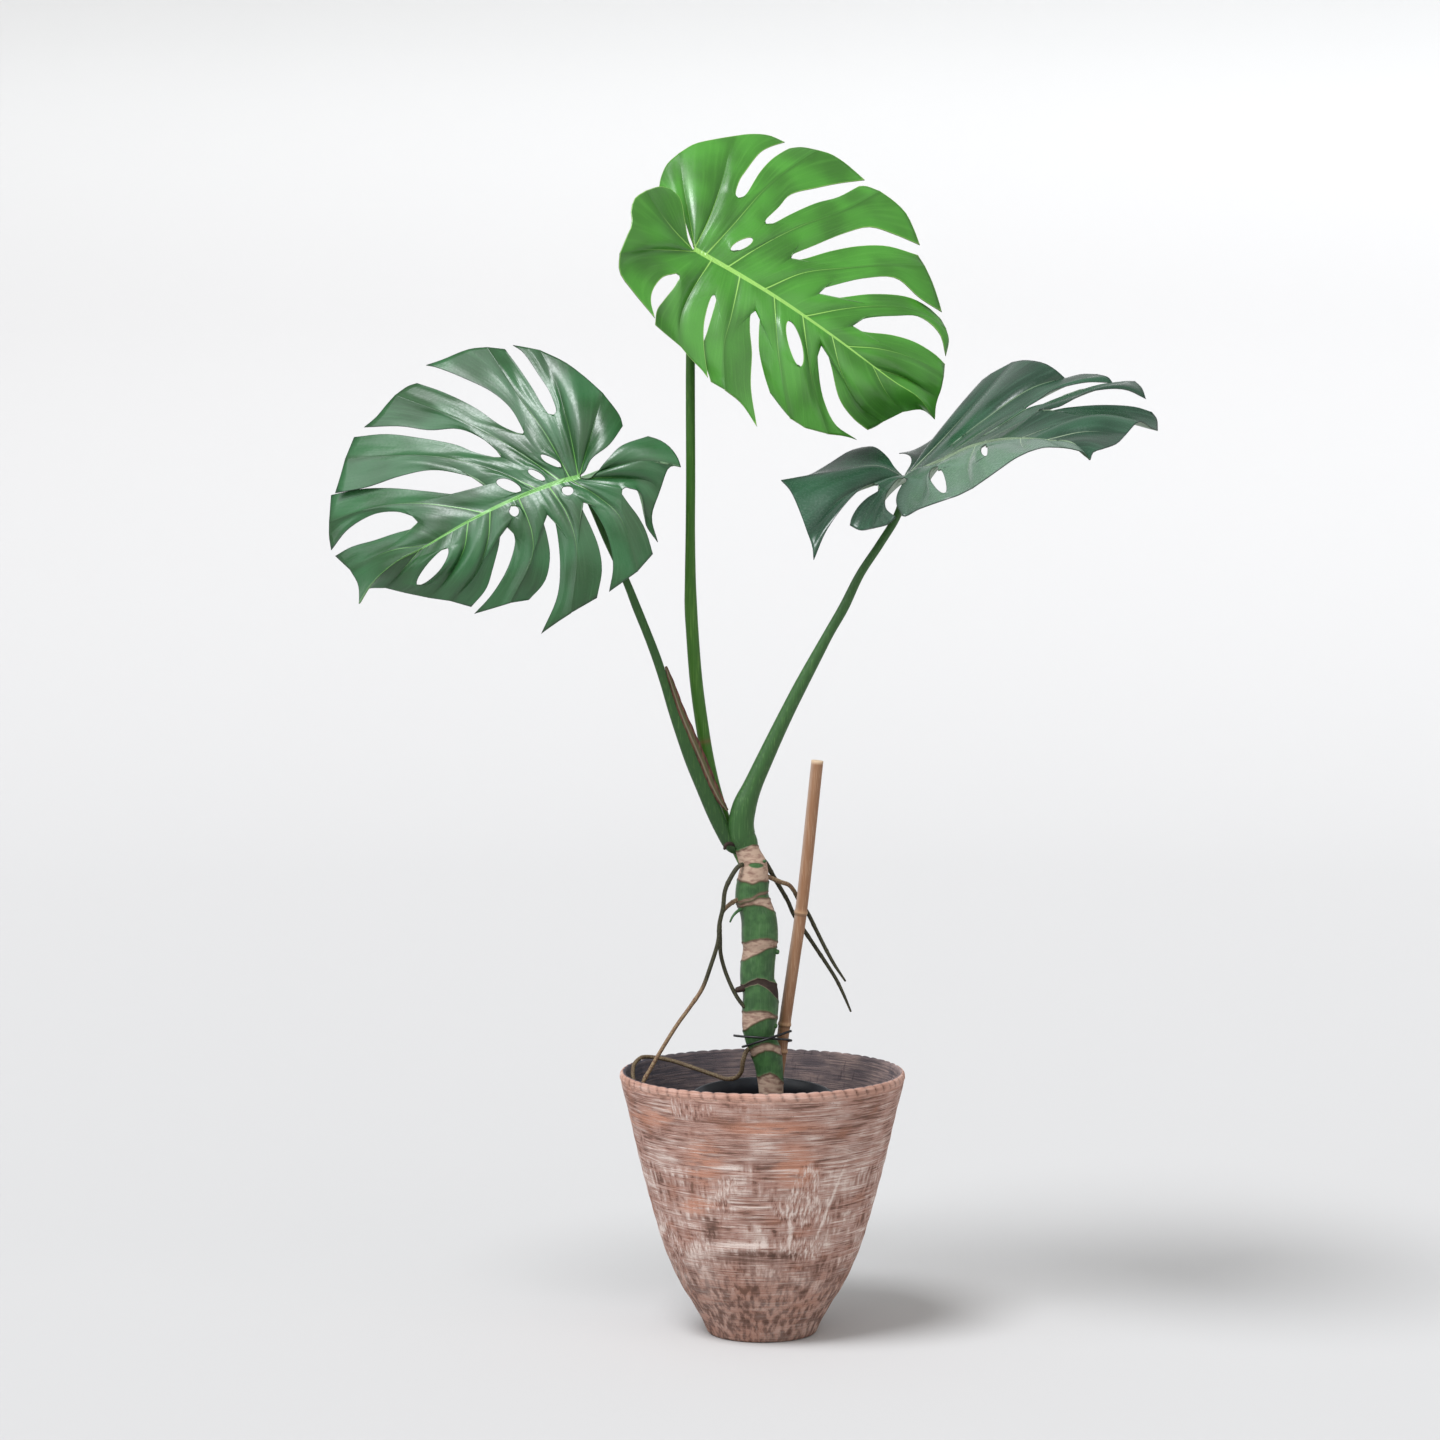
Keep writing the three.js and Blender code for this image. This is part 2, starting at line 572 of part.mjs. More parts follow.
// The share of the way from one line's depth to the next one's, level at a crest.
function leanAt(from, to, q) {
  if (from === to) return q;
  return from < to ? 1 - (1 - q) ** 2 : q ** 2;
}

// One coordinate of a patch with the lines a and b and the ends inner and outer.
function coons(a, b, i, inner, outer, share) {
  const ruled = (k) => lerp(a[k], b[k], share);
  const r = i / LEAF_ROWS;
  return ruled(i) + (inner - ruled(0)) * (1 - r) + (outer - ruled(LEAF_ROWS)) * r;
}

// The blade as one closed sheet. Each strip between two lines is a patch blended from
// its four edges; the blade arches, bulges between veins and has a keel under the midrib.
function leafSolid(leaf) {
  const midrib = smoothPath(leaf.midrib);
  const top = new Surface();
  const place = (xy, away) => seen(xy, leaf.depth
    + leaf.slope.right * (xy[0] - leaf.joint[0]) + leaf.slope.up * (leaf.joint[1] - xy[1]) + away);
  const spine = (s) => cubic(leaf.midribAway, s);

  const half = (lines, side) => {
    const band = [];
    const sides = lines.map((line) => lineSides(line, midrib, side));
    for (let j = 0; j + 1 < lines.length; j += 1) {
      const [from, to] = [sides[j], sides[j + 1]];
      const crests = [lines[j].crest, lines[j + 1].crest];
      const awayFrom = lipAway(lines[j], 1);
      const awayTo = lines[j + 1].isTip ? spine(1) : lipAway(lines[j + 1], 0);
      const a = from.apical;
      const b = to.basal;
      const depthsA = from.reach.map((r) => rowAway(lines[j], spine(from.foot), awayFrom, r));
      const depthsB = to.reach.map((r) => rowAway(lines[j + 1], spine(to.foot), awayTo, r));
      const margin = smoothPath([a.at(-1), ...lines[j + 1].margin, b.at(-1)]);
      const ids = [];
      for (let c = 0; c <= LEAF_COLUMNS; c += 1) {
        const q = c / LEAF_COLUMNS;
        const s = lerp(from.foot, to.foot, q);
        const inner = midribSide(midrib, s, side);
        const outer = margin(q);
        const lean = leanAt(...crests, q);
        const bulge = 1 - (1 - crestAt(...crests, q)) ** 2;
        ids.push(a.map((_, i) => {
          const xy = [0, 1].map((k) => coons(
            a.map((p) => p[k]), b.map((p) => p[k]), i, inner[k], outer[k], q));
          const away = coons(depthsA, depthsB, i, spine(s), lerp(awayFrom, awayTo, lean), lean);
          const lift = Math.sin(Math.PI * lerp(from.reach[i], to.reach[i], q));
          const point = place(xy, away - (leaf.arch + leaf.pillow * bulge) * lift);
          return top.vertex(point, { rise: leaf.swell * bulge * lift, keel: i === 0 ? 1 - s : 0 });
        }));
        if (band.length === 0 || c > 0) band.push({ id: ids[c][0], s });
      }
      for (let c = 0; c < LEAF_COLUMNS; c += 1) {
        for (let i = 0; i < LEAF_ROWS; i += 1) {
          const corners = [ids[c][i], ids[c + 1][i], ids[c + 1][i + 1], ids[c][i + 1]];
          if (side < 0) corners.reverse();
          top.quad(...corners);
        }
      }
    }
    return band;
  };

  const upper = half(leaf.upperHalf, leaf.upperSide);
  const lower = half(leaf.lowerHalf, -leaf.upperSide);
  joinBand(top, upper, lower, leaf.upperSide);
  return thicken(top);
}

// Closes the midrib band between the inner edges of the two halves.
function joinBand(surface, upper, lower, side) {
  let i = 0;
  let j = 0;
  while (i + 1 < upper.length || j + 1 < lower.length) {
    const upperNext = i + 1 < upper.length ? upper[i + 1].s : Infinity;
    const lowerNext = j + 1 < lower.length ? lower[j + 1].s : Infinity;
    const corners = upperNext <= lowerNext
      ? [upper[i].id, lower[j].id, upper[i + 1].id]
      : [upper[i].id, lower[j].id, lower[j + 1].id];
    if (side < 0) corners.reverse();
    surface.face(...corners);
    if (upperNext <= lowerNext) i += 1;
    else j += 1;
  }
}

function vertexNormals(points, faces) {
  const normals = points.map(() => new THREE.Vector3());
  faces.forEach(([a, b, c]) => {
    const normal = points[b].clone().sub(points[a]).cross(points[c].clone().sub(points[a]));
    [a, b, c].forEach((id) => normals[id].add(normal));
  });
  return normals.map((normal) => normal.normalize());
}

// Raises the bulges of a sheet, gives it an underside and closes its rims.
function thicken(top) {
  const flat = vertexNormals(top.points, top.faces);
  const upper = top.points.map((p, id) => p.clone().addScaledVector(flat[id], top.extra[id].rise));
  const normals = vertexNormals(upper, top.faces);
  const depthOf = (id) => BLADE_THICKNESS + KEEL_DEPTH * top.extra[id].keel;
  const lower = upper.map((p, id) => p.clone().addScaledVector(normals[id], -depthOf(id)));
  const count = upper.length;
  const body = new Surface();
  body.points = [...upper, ...lower];
  const open = new Map();
  top.faces.forEach(([a, b, c]) => {
    body.face(a, b, c);
    body.face(c + count, b + count, a + count);
    [[a, b], [b, c], [c, a]].forEach(([from, to]) => {
      if (open.has(`${to},${from}`)) open.delete(`${to},${from}`);
      else open.set(`${from},${to}`, [from, to]);
    });
  });
  open.forEach(([from, to]) => body.quad(to, from, from + count, to + count));
  return body.geometry();
}

// ---------------------------------------------------------------- the pieces

function circle(radiusAt, z, sides) {
  return Array.from({ length: sides }, (_, k) => {
    const angle = (2 * Math.PI * k) / sides;
    const radius = radiusAt(angle);
    return new THREE.Vector3(radius * Math.cos(angle), radius * Math.sin(angle), z);
  });
}

function outerPot() {
  const { rimRadius, height, floor, crimps, crimpDepth, wallProfile, rimRings } = POT;
  const wall = POT.wall * POT.slantThickness;
  const plain = (radius, z) => circle(() => radius, z, crimps);
  const crimped = (radius, z, share) => circle(
    (angle) => radius + share * crimpDepth * Math.cos(crimps * angle), z, 2 * crimps);
  const outside = wallProfile.map(([z, radius]) => plain(radius, z));
  const rim = rimRings.map(([inward, down, share]) => crimped(rimRadius - inward, height - down, share));
  const inside = wallProfile.slice(2).reverse().filter((_, k) => k % 2 === 0)
    .map(([z, radius]) => plain(radius - wall, z));
  const [[, footRadius], [kneeHeight, kneeRadius]] = wallProfile;
  inside.push(plain(lerp(footRadius, kneeRadius, floor / kneeHeight) - wall, floor));
  return solidOfRings([...outside, ...rim, ...inside],
    new THREE.Vector3(0, 0, 0), new THREE.Vector3(0, 0, floor));
}

// Everything inside the grow pot shares its tilt and its foot.
function tiltedIn(geometry) {
  geometry.rotateX(THREE.MathUtils.degToRad(GROW_POT.tiltDegrees));
  return geometry.translate(...GROW_POT.foot);
}

function growPotRadius(z) {
  return lerp(GROW_POT.footRadius, GROW_POT.rimRadius, z / GROW_POT.height);
}

function growPot() {
  const { height, wall, floor, lip, lipDepth, lipStep, sides } = GROW_POT;
  const { drainHoles, drainHoleRadius, drainHoleSides, drainHoleReach, footRadius } = GROW_POT;
  const ring = (z, shift) => circle(() => growPotRadius(z) + shift, z, sides);
  const rings = [ring(0, -1), ring(1, 0), ring(height - lipDepth, 0),
    ring(height - lipDepth + lipStep, lip), ring(height, lip), ring(height, -wall), ring(floor, -wall)];
  const cup = solidOfRings(rings, new THREE.Vector3(0, 0, 0), new THREE.Vector3(0, 0, floor));
  const drills = Array.from({ length: drainHoles }, (_, k) => {
    const angle = (2 * Math.PI * (k + 0.5)) / drainHoles;
    const reach = drainHoleReach * footRadius;
    return drillAt(drainHoleRadius, 10 * floor, drainHoleSides)
      .translate(reach * Math.cos(angle), reach * Math.sin(angle), 0);
  });
  return tiltedIn(carve(cup, drills));
}

// An upright round bar about the origin, to cut holes with.
function drillAt(radius, length, sides) {
  const ring = (z) => circle(() => radius, z, sides);
  return solidOfRings([ring(-length / 2), ring(length / 2)],
    new THREE.Vector3(0, 0, -length / 2), new THREE.Vector3(0, 0, length / 2));
}

function soil(planted) {
  const { depthBelowRim, bump, rings, sides } = SOIL;
  const clear = GROW_POT.wall + TOUCH_GAP;
  const low = GROW_POT.floor + TOUCH_GAP;
  const top = GROW_POT.height - depthBelowRim;
  const bumpAt = (x, y) => bump * (Math.sin(x / 7 + 1.3) * Math.cos(y / 6) + 0.6 * Math.sin((x - 2 * y) / 9));
  const body = [circle(() => growPotRadius(low) - clear, low, sides),
    circle(() => growPotRadius(top) - clear - 0.4, top - 3, sides)];
  for (let i = 0; i < rings; i += 1) {
    const radius = (growPotRadius(top) - clear - 1.5) * (1 - i / rings);
    body.push(circle(() => radius, top, sides).map((p) => p.setZ(top + bumpAt(p.x, p.y))));
  }
  const plug = solidOfRings(body, new THREE.Vector3(0, 0, low), new THREE.Vector3(0, 0, top + bumpAt(0, 0)));
  return carve(tiltedIn(plug), planted);
}

// Stations of the woody parts: front-view x and y, depth, and half width.
const STEM = [[746, 847, 0, 11.6], [750, 857, 0, 12.8], [753.6, 866, -1, 14], [753, 881, -1, 16],
  [751.8, 898, -2, 16.4], [755.6, 907, -2, 16.8], [759, 920, -3, 17.8], [759.8, 940, -4, 18.2],
  [759.6, 949, -4, 17], [757.6, 966, -5, 17.2], [757.6, 982, -6, 17.2], [760.6, 992, -7, 17.8],
  [760, 1012, -8, 18], [759, 1027, -9, 17], [760, 1039, -10, 14.6], [766, 1052, -11, 15.4],
  [769, 1066, -12, 14], [770.4, 1080, -13, 13.2], [771.4, 1098, -14, 12.4], [773, 1150, -15, 11]];

const STEM_STUBS = [
  [[738, 846, -3, 5], [729, 842, -7, 3.6], [725.5, 846, -9, 2.4], [724.5, 849, -9.5, 1.6]],
  [[757, 863, -5, 5], [768, 861, -9, 3]],
  [[748, 906, -6, 3.4], [738, 914, -14, 2.6], [733, 920, -19, 1.6], [730, 923, -19, 1]],
  [[748, 987, -12, 4], [737, 990, -17, 2.8]],
  [[768, 950, -6, 4], [778, 952, -9, 2.4]],
  [[766, 1024, -12, 5], [776, 1026, -14, 2.6]],
];

const PETIOLE_LEFT = [
  [581.4, 481.6, -14.8, 3.6], [592, 505, -17, 3.6], [607, 540, -21, 3.6], [626.5, 582, -22, 3.6],
  [636.7, 607.6, -20, 4.1], [647, 633, -18, 4.1], [656.5, 658, -15, 4.3], [665, 684, -12, 4.4],
  [673.5, 710, -9, 5.3], [683, 735, -7, 6.7], [693, 760.6, -5, 7.7], [703.5, 786, -4, 7.8],
  [714, 811, -3, 7.8], [722, 829, -2, 7.2], [731, 845, 0, 7], [738, 856, 0, 6]];

const PETIOLE_TOP = [
  [693.4, 253.5, 36, 3.8], [691.5, 285, 32, 4], [690.4, 362, 24, 4.4], [690.6, 480, 16, 4.5],
  [690.3, 531, 14, 4.6], [690.3, 580, 13, 5.4], [690.8, 607, 13, 6.1], [692.3, 633, 13, 6.1],
  [696, 680, 13, 6.2], [701.5, 722, 13, 6.2], [708, 760, 13, 6], [716, 794, 13, 6],
  [726, 824, 12, 6], [737, 848, 9, 6], [746, 868, 4, 5]];

const PETIOLE_RIGHT = [[905.3, 484, 22, 3.6], [903.5, 496, 22, 3.7], [897, 516, 20, 3.8], [880, 544, 16, 3.9],
  [860, 574.4, 13, 4.1], [843.6, 607.6, 10, 4.9], [829, 633, 8, 4.9], [816.5, 656, 7, 5.6],
  [801.5, 684, 5, 6.4], [788.4, 709.6, 4, 6.8], [776, 735, 3, 7.4], [764, 760.6, 2, 8.2],
  [752.4, 786, 1, 9.2], [744.4, 806, 0, 11.6], [741, 824, 0, 12.4], [742.4, 836, 0, 12.6],
  [746, 843, 0, 11.4], [748, 850, 0, 10]];

const DRY_HUSK = [[666, 667, -15, 1.4], [672, 684, -14, 2.9], [681, 710, -12, 3.9], [691.4, 735, -11, 4.6],
  [702.6, 760.6, -10, 4.8], [712, 783, -9, 4.4], [721, 801, -8, 3.4], [727, 810, -7, 1.6]];

const ROOT_LEFT_LONG = [[744, 864, -8, 2.2], [738, 867, -13, 2.3], [730, 879, -17, 2.3], [725, 891, -18, 2.2],
  [723, 908, -18, 2.2], [719.5, 924, -18.5, 2.2], [718.4, 940, -19, 2.1], [710, 968, -20, 2.1],
  [702, 989, -21, 2.1], [690, 1007, -22, 2], [677, 1025, -24, 2], [662, 1049, -27, 2],
  [651, 1068, -30, 2], [642.8, 1084, -33, 1.9], [642, 1104, -35, 1.8], [646, 1128, -37, 1.6],
  [652, 1150, -38, 1.2]];

const ROOT_LEFT_LOOP = [[742, 898, -8, 2.2], [735, 901, -9, 2.3], [729, 905, -10, 2.2], [722.6, 912, -11, 2],
  [720, 922, -11.5, 2], [720.2, 940, -12, 2], [720.6, 953, -12, 2], [724.2, 968, -12, 2],
  [730.6, 984.6, -13, 2], [737, 997, -15, 2], [744, 1007, -16, 1.8]];

const ROOT_IN_POT = [[754, 1045, -13, 2.2], [746.7, 1051, -15, 2.3], [743, 1061, -16, 2.3],
  [741.5, 1071, -14, 2.2], [737, 1077, -10, 2.2], [727, 1079, -4, 2.2], [714, 1075, 2, 2.2],
  [692.4, 1067.5, 10, 2.1], [671, 1060.5, 16, 2.1], [648, 1056.8, 14, 2], [640.6, 1058, 8, 2],
  [635, 1063, 3, 2], [632.8, 1070, -4, 2], [634, 1082, -14, 1.9], [640, 1100, -22, 1.6],
  [645, 1120, -28, 1.2]];

const ROOT_RIGHT_UPPER = [[764, 875, 2, 2.2], [771, 878, 5, 2.3], [780.6, 882, 9, 2.3], [789, 885, 13, 2.2],
  [794.4, 891.6, 15.6, 2.1], [797.6, 898, 17, 2.1], [807.4, 912.5, 18, 2.1], [815.7, 929, 18, 2],
  [825, 947.6, 18, 1.9], [834.2, 964.3, 18, 1.7], [845.3, 981, 18, 1]];

const ROOT_RIGHT_LOWER = [
  [760, 856, 6, 2.2], [766, 863, 11, 2.3], [773, 875.5, 15, 2.3], [780.6, 888.4, 18.6, 2.2],
  [788, 901.4, 20.6, 2.1], [793.5, 914, 22, 2.1], [804.6, 931, 23, 2.1], [815.7, 947.6, 23, 2],
  [826.8, 964.3, 23, 1.9], [836, 979, 23, 1.8], [843.4, 994, 23, 1.6], [850.8, 1011.4, 23, 1]];

// One length of wire: free end, across the stem, round the stake, back and across again.
const TIE = [[734, 1035.5, -21, TIE_RADIUS], [743, 1036.5, -22.5, TIE_RADIUS], [751, 1037, -26, TIE_RADIUS],
  [760, 1037.6, -27, TIE_RADIUS], [769, 1038.4, -24.6, TIE_RADIUS], [777, 1039, -18, TIE_RADIUS],
  [786, 1039.6, -5, TIE_RADIUS], [791.2, 1040.4, 6, TIE_RADIUS], [788, 1041, 14.6, TIE_RADIUS],
  [781, 1041.4, 16.4, TIE_RADIUS], [770, 1042.4, 13, TIE_RADIUS], [756, 1044, 7.4, TIE_RADIUS],
  [747, 1045.6, 2, TIE_RADIUS], [743, 1046.6, -6, TIE_RADIUS], [743.6, 1046.6, -15, TIE_RADIUS],
  [749, 1045, -24.4, TIE_RADIUS], [758, 1042, -30, TIE_RADIUS], [770, 1038, -29, TIE_RADIUS],
  [782, 1034, -20, TIE_RADIUS], [791, 1031, -14, TIE_RADIUS]];

function stem(grow = 0) {
  const trunk = limb(STEM, { steps: 1, sides: 16, grow, blunt: 0.3 });
  const stubs = STEM_STUBS.map((stub) => limb(stub, { steps: 2, sides: 7, grow }));
  return fuse([trunk, ...stubs]);
}

function stake(grow = 0) {
  const stations = STAKE.path.flatMap(([x, y, depth], i) => {
    if (!STAKE.nodes.includes(i)) return [[x, y, depth, STAKE.radius]];
    return [[x + 0.4, y - 3, depth, STAKE.radius], [x, y, depth, STAKE.nodeRadius],
      [x - 0.4, y + 3, depth, STAKE.radius]];
  });
  return limb(stations, { steps: 1, sides: 12, grow, blunt: 0.12 });
}

// ------------------------------------------------------------------ assembly
const finish = (colour, roughness) => new THREE.MeshStandardMaterial(
  { color: colour, roughness, metalness: 0 });

const part = new THREE.Group();
part.name = 'potted_monstera';

function add(name, geometry, colour, roughness) {
  const mesh = new THREE.Mesh(geometry, finish(colour, roughness));
  mesh.name = name;
  part.add(mesh);
}

const round = { steps: 1, sides: 12 };
const slim = { steps: 1, sides: 8 };
const gap = { grow: TOUCH_GAP };

const leftPetiole = carve(limb(PETIOLE_LEFT, round), [stem(TOUCH_GAP)]);
const rightPetiole = carve(limb(PETIOLE_RIGHT, round),
  [stem(TOUCH_GAP), limb(PETIOLE_LEFT, { ...round, ...gap })]);
const topPetiole = carve(limb(PETIOLE_TOP, round), [stem(TOUCH_GAP),
  limb(PETIOLE_LEFT, { ...round, ...gap }), limb(PETIOLE_RIGHT, { ...round, ...gap })]);
const husk = carve(limb(DRY_HUSK, { steps: 1, sides: 8, flatness: 0.3 }),
  [limb(PETIOLE_LEFT, { ...round, ...gap }), limb(PETIOLE_TOP, { ...round, ...gap })]);
const rooted = (stations) => carve(limb(stations, slim), [stem(TOUCH_GAP)]);

add('outer_pot', outerPot(), COLOURS.terracotta, 0.9);
add('grow_pot', growPot(), COLOURS.growPot, 0.45);
add('soil', soil([stem(TOUCH_GAP), stake(TOUCH_GAP)]), COLOURS.soil, 0.95);
add('stem', stem(), COLOURS.stem, 0.6);
add('stake', stake(), COLOURS.stake, 0.7);
add('tie', limb(TIE, { steps: 2, sides: 5 }), COLOURS.tie, 0.5);
add('petiole_left', leftPetiole, COLOURS.petiole, 0.5);
add('petiole_top', topPetiole, COLOURS.petiole, 0.5);
add('petiole_right', rightPetiole, COLOURS.petiole, 0.5);
add('dry_husk', husk, COLOURS.dryHusk, 0.85);
add('leaf_left', leafSolid(LEFT_LEAF), COLOURS.leftLeaf, 0.4);
add('leaf_top', leafSolid(TOP_LEAF), COLOURS.topLeaf, 0.4);
add('leaf_right', leafSolid(RIGHT_LEAF), COLOURS.rightLeaf, 0.4);
add('root_left_long', rooted(ROOT_LEFT_LONG), COLOURS.darkRoot, 0.8);
add('root_left_loop', rooted(ROOT_LEFT_LOOP), COLOURS.darkRoot, 0.8);
add('root_in_pot', rooted(ROOT_IN_POT), COLOURS.brownRoot, 0.8);
add('root_right_upper', rooted(ROOT_RIGHT_UPPER), COLOURS.brownRoot, 0.8);
add('root_right_lower', rooted(ROOT_RIGHT_LOWER), COLOURS.darkRoot, 0.8);

export default part;
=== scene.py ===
"""Potted monstera: the finished surfaces of the plant, its pots, cane and tie."""
import functools
import math

import bpy
import numpy as np
from bpy.props import FloatProperty, FloatVectorProperty, PointerProperty
from bpy.types import Operator, Panel, PropertyGroup
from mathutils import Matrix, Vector


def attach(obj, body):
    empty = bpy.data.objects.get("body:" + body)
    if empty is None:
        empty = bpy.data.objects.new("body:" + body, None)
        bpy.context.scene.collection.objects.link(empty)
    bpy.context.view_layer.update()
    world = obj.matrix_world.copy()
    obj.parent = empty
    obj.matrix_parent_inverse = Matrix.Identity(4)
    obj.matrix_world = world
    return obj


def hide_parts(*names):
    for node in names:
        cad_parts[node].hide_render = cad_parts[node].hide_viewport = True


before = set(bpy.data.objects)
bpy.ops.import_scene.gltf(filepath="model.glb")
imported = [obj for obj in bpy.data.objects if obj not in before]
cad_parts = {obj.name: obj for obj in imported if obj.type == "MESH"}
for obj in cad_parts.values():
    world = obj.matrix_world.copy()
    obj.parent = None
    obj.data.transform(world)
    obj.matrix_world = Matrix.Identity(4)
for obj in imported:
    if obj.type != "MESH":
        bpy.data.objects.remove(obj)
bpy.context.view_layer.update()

bl_info = {
    "name": "Potted Monstera",
    "version": (1, 0, 0),
    "blender": (4, 5, 0),
    "location": "View3D > Sidebar > Monstera",
    "description": "Builds the leaves, stalks, roots and pots of a potted monstera",
    "category": "Object",
}

MM = 0.001

# Outlines and centre lines are points of the front view, a square picture 1440 units
# wide in which one unit is about one millimetre at the plant.
VIEW_EYE_MM = np.array([-42.2, -4400.0, 985.0])
VIEW_PITCH_DOWN = math.radians(4.8)
VIEW_FOCAL = 4450.0
VIEW_CENTRE = 720.0
SENSOR_WIDTH_MM = 36


# ------------------------------------------------------------------ geometry

def seen(xy, depth_mm):
    """Places front-view points at given depths: the ray from the eye through each
    point is followed until its Y equals the depth. Result in millimetres."""
    xy = np.asarray(xy, float)
    right = xy[..., 0] - VIEW_CENTRE
    up = VIEW_CENTRE - xy[..., 1]
    cos, sin = math.cos(VIEW_PITCH_DOWN), math.sin(VIEW_PITCH_DOWN)
    ray = np.stack([right, VIEW_FOCAL * cos + up * sin, up * cos - VIEW_FOCAL * sin], -1)
    reach = (np.asarray(depth_mm, float) - VIEW_EYE_MM[1]) / ray[..., 1]
    return VIEW_EYE_MM + ray * reach[..., None]


def front_view(points):
    """The front-view x and y of points in millimetres: focal length times how far right
    or down they lie over their distance along the view."""
    rel = points - VIEW_EYE_MM
    cos, sin = math.cos(VIEW_PITCH_DOWN), math.sin(VIEW_PITCH_DOWN)
    ahead = rel[..., 1] * cos - rel[..., 2] * sin
    down = -rel[..., 2] * cos - rel[..., 1] * sin
    return VIEW_CENTRE + VIEW_FOCAL * np.stack([rel[..., 0], down], -1) / ahead[..., None]


def unit(vectors):
    """Each vector divided by its length."""
    length = np.linalg.norm(vectors, axis=-1, keepdims=True)
    return vectors / np.maximum(length, 1e-12)


def soft_step(value, start, end):
    """0 at start and 1 at end: 3 t^2 - 2 t^3 of the share between."""
    t = np.clip((np.asarray(value, float) - start) / (end - start), 0, 1)
    return t * t * (3 - 2 * t)


def between(value, low, high, ramp):
    """1 between low and high and 0 beyond, with a straight ramp of the given width
    across either limit."""
    return np.clip((value - low) / ramp + 0.5, 0, 1) * np.clip((high - value) / ramp + 0.5, 0, 1)


def bell(offset, width):
    """A bell curve, exp(-(offset / width)^2)."""
    return np.exp(-(offset / width) ** 2)


def even_turn(sides):
    """Angles of a full circle, evenly spaced."""
    return np.linspace(0, 2 * np.pi, sides, endpoint=False)


def spline_at(points, t):
    """Centripetal Catmull-Rom curve through the points; t counts segments, so t = 1.5
    lies half way through the second."""
    points = np.asarray(points, float)
    ends = np.vstack([2 * points[:1] - points[1:2], points, 2 * points[-1:] - points[-2:-1]])
    t = np.clip(np.asarray(t, float), 0, len(points) - 1)
    k = np.minimum(t.astype(int), len(points) - 2)
    s = (t - k)[..., None]
    p0, p1, p2, p3 = (ends[k + n] for n in range(4))
    d0, d1, d2 = (np.maximum(np.linalg.norm(b - a, axis=-1, keepdims=True) ** 0.5, 1e-4)
                  for a, b in ((p0, p1), (p1, p2), (p2, p3)))
    t1 = ((p1 - p0) / d0 - (p2 - p0) / (d0 + d1) + (p2 - p1) / d1) * d1
    t2 = ((p2 - p1) / d1 - (p3 - p1) / (d1 + d2) + (p3 - p2) / d2) * d1
    return (p1 + t1 * s + (-3 * p1 + 3 * p2 - 2 * t1 - t2) * s ** 2
            + (2 * p1 - 2 * p2 + t1 + t2) * s ** 3)


def smooth_path(points):
    """The same curve as a function from fractions of its length to points."""
    points = np.asarray(points, float)
    dense = spline_at(points, np.linspace(0, len(points) - 1, 40 * len(points)))
    lengths = np.concatenate([[0], np.cumsum(np.linalg.norm(np.diff(dense, axis=0), axis=1))])
    lengths /= lengths[-1]

    def at(fraction):
        fraction = np.clip(np.asarray(fraction, float), 0, 1)
        return np.stack([np.interp(fraction, lengths, column) for column in dense.T], -1)

    return at


def grid_faces(rows, columns, wrap):
    """Quads of a grid of points, wrapping round in its second direction if asked."""
    last = columns if wrap else columns - 1
    i, j = np.meshgrid(np.arange(rows - 1), np.arange(last), indexing="ij")
    n = (j + 1) % columns
    return np.stack([i * columns + j, i * columns + n, (i + 1) * columns + n,
                     (i + 1) * columns + j], -1).reshape(-1, 4)


def new_object(name, points_mm, faces, attributes=None):
    """A smooth mesh object at the origin, in metres, with named float attributes."""
    mesh = bpy.data.meshes.new(name)
    mesh.from_pydata((np.asarray(points_mm) * MM).tolist(), [], [list(face) for face in faces])
    for key, values in (attributes or {}).items():
        layer = mesh.attributes.new(key, "FLOAT", "POINT")
        layer.data.foreach_set("value", np.asarray(values, np.float32).ravel())
    mesh.polygons.foreach_set("use_smooth", [True] * len(mesh.polygons))
    mesh.validate()
    mesh.update()
    obj = bpy.data.objects.new(name, mesh)
    bpy.context.scene.collection.objects.link(obj)
    return obj


def face_outward(obj):
    """Turns the faces round if the mesh encloses a negative volume, which is a sixth of
    the sum of a . (b x c) over its triangles."""
    mesh = obj.data
    mesh.calc_loop_triangles()
    corners = np.empty(len(mesh.loop_triangles) * 3, np.int32)
    mesh.loop_triangles.foreach_get("vertices", corners)
    points = np.empty(len(mesh.vertices) * 3)
    mesh.vertices.foreach_get("co", points)
    a, b, c = np.moveaxis(points.reshape(-1, 3)[corners.reshape(-1, 3)], 1, 0)
    if np.einsum("ij,ij->", a, np.cross(b, c)) < 0:
        mesh.flip_normals()


def tube_object(name, rings, attributes=None):
    """A closed body from rings of points (rows x sides x 3), capped by a face at
    either end; attributes are given per ring point."""
    rows, sides, _ = rings.shape
    faces = grid_faces(rows, sides, True).tolist()
    faces.append(list(range(sides))[::-1])
    faces.append(list(range((rows - 1) * sides, rows * sides)))
    flat = {key: np.broadcast_to(value, (rows, sides)).ravel()
            for key, value in (attributes or {}).items()}
    obj = new_object(name, rings.reshape(-1, 3), faces, flat)
    face_outward(obj)
    return obj


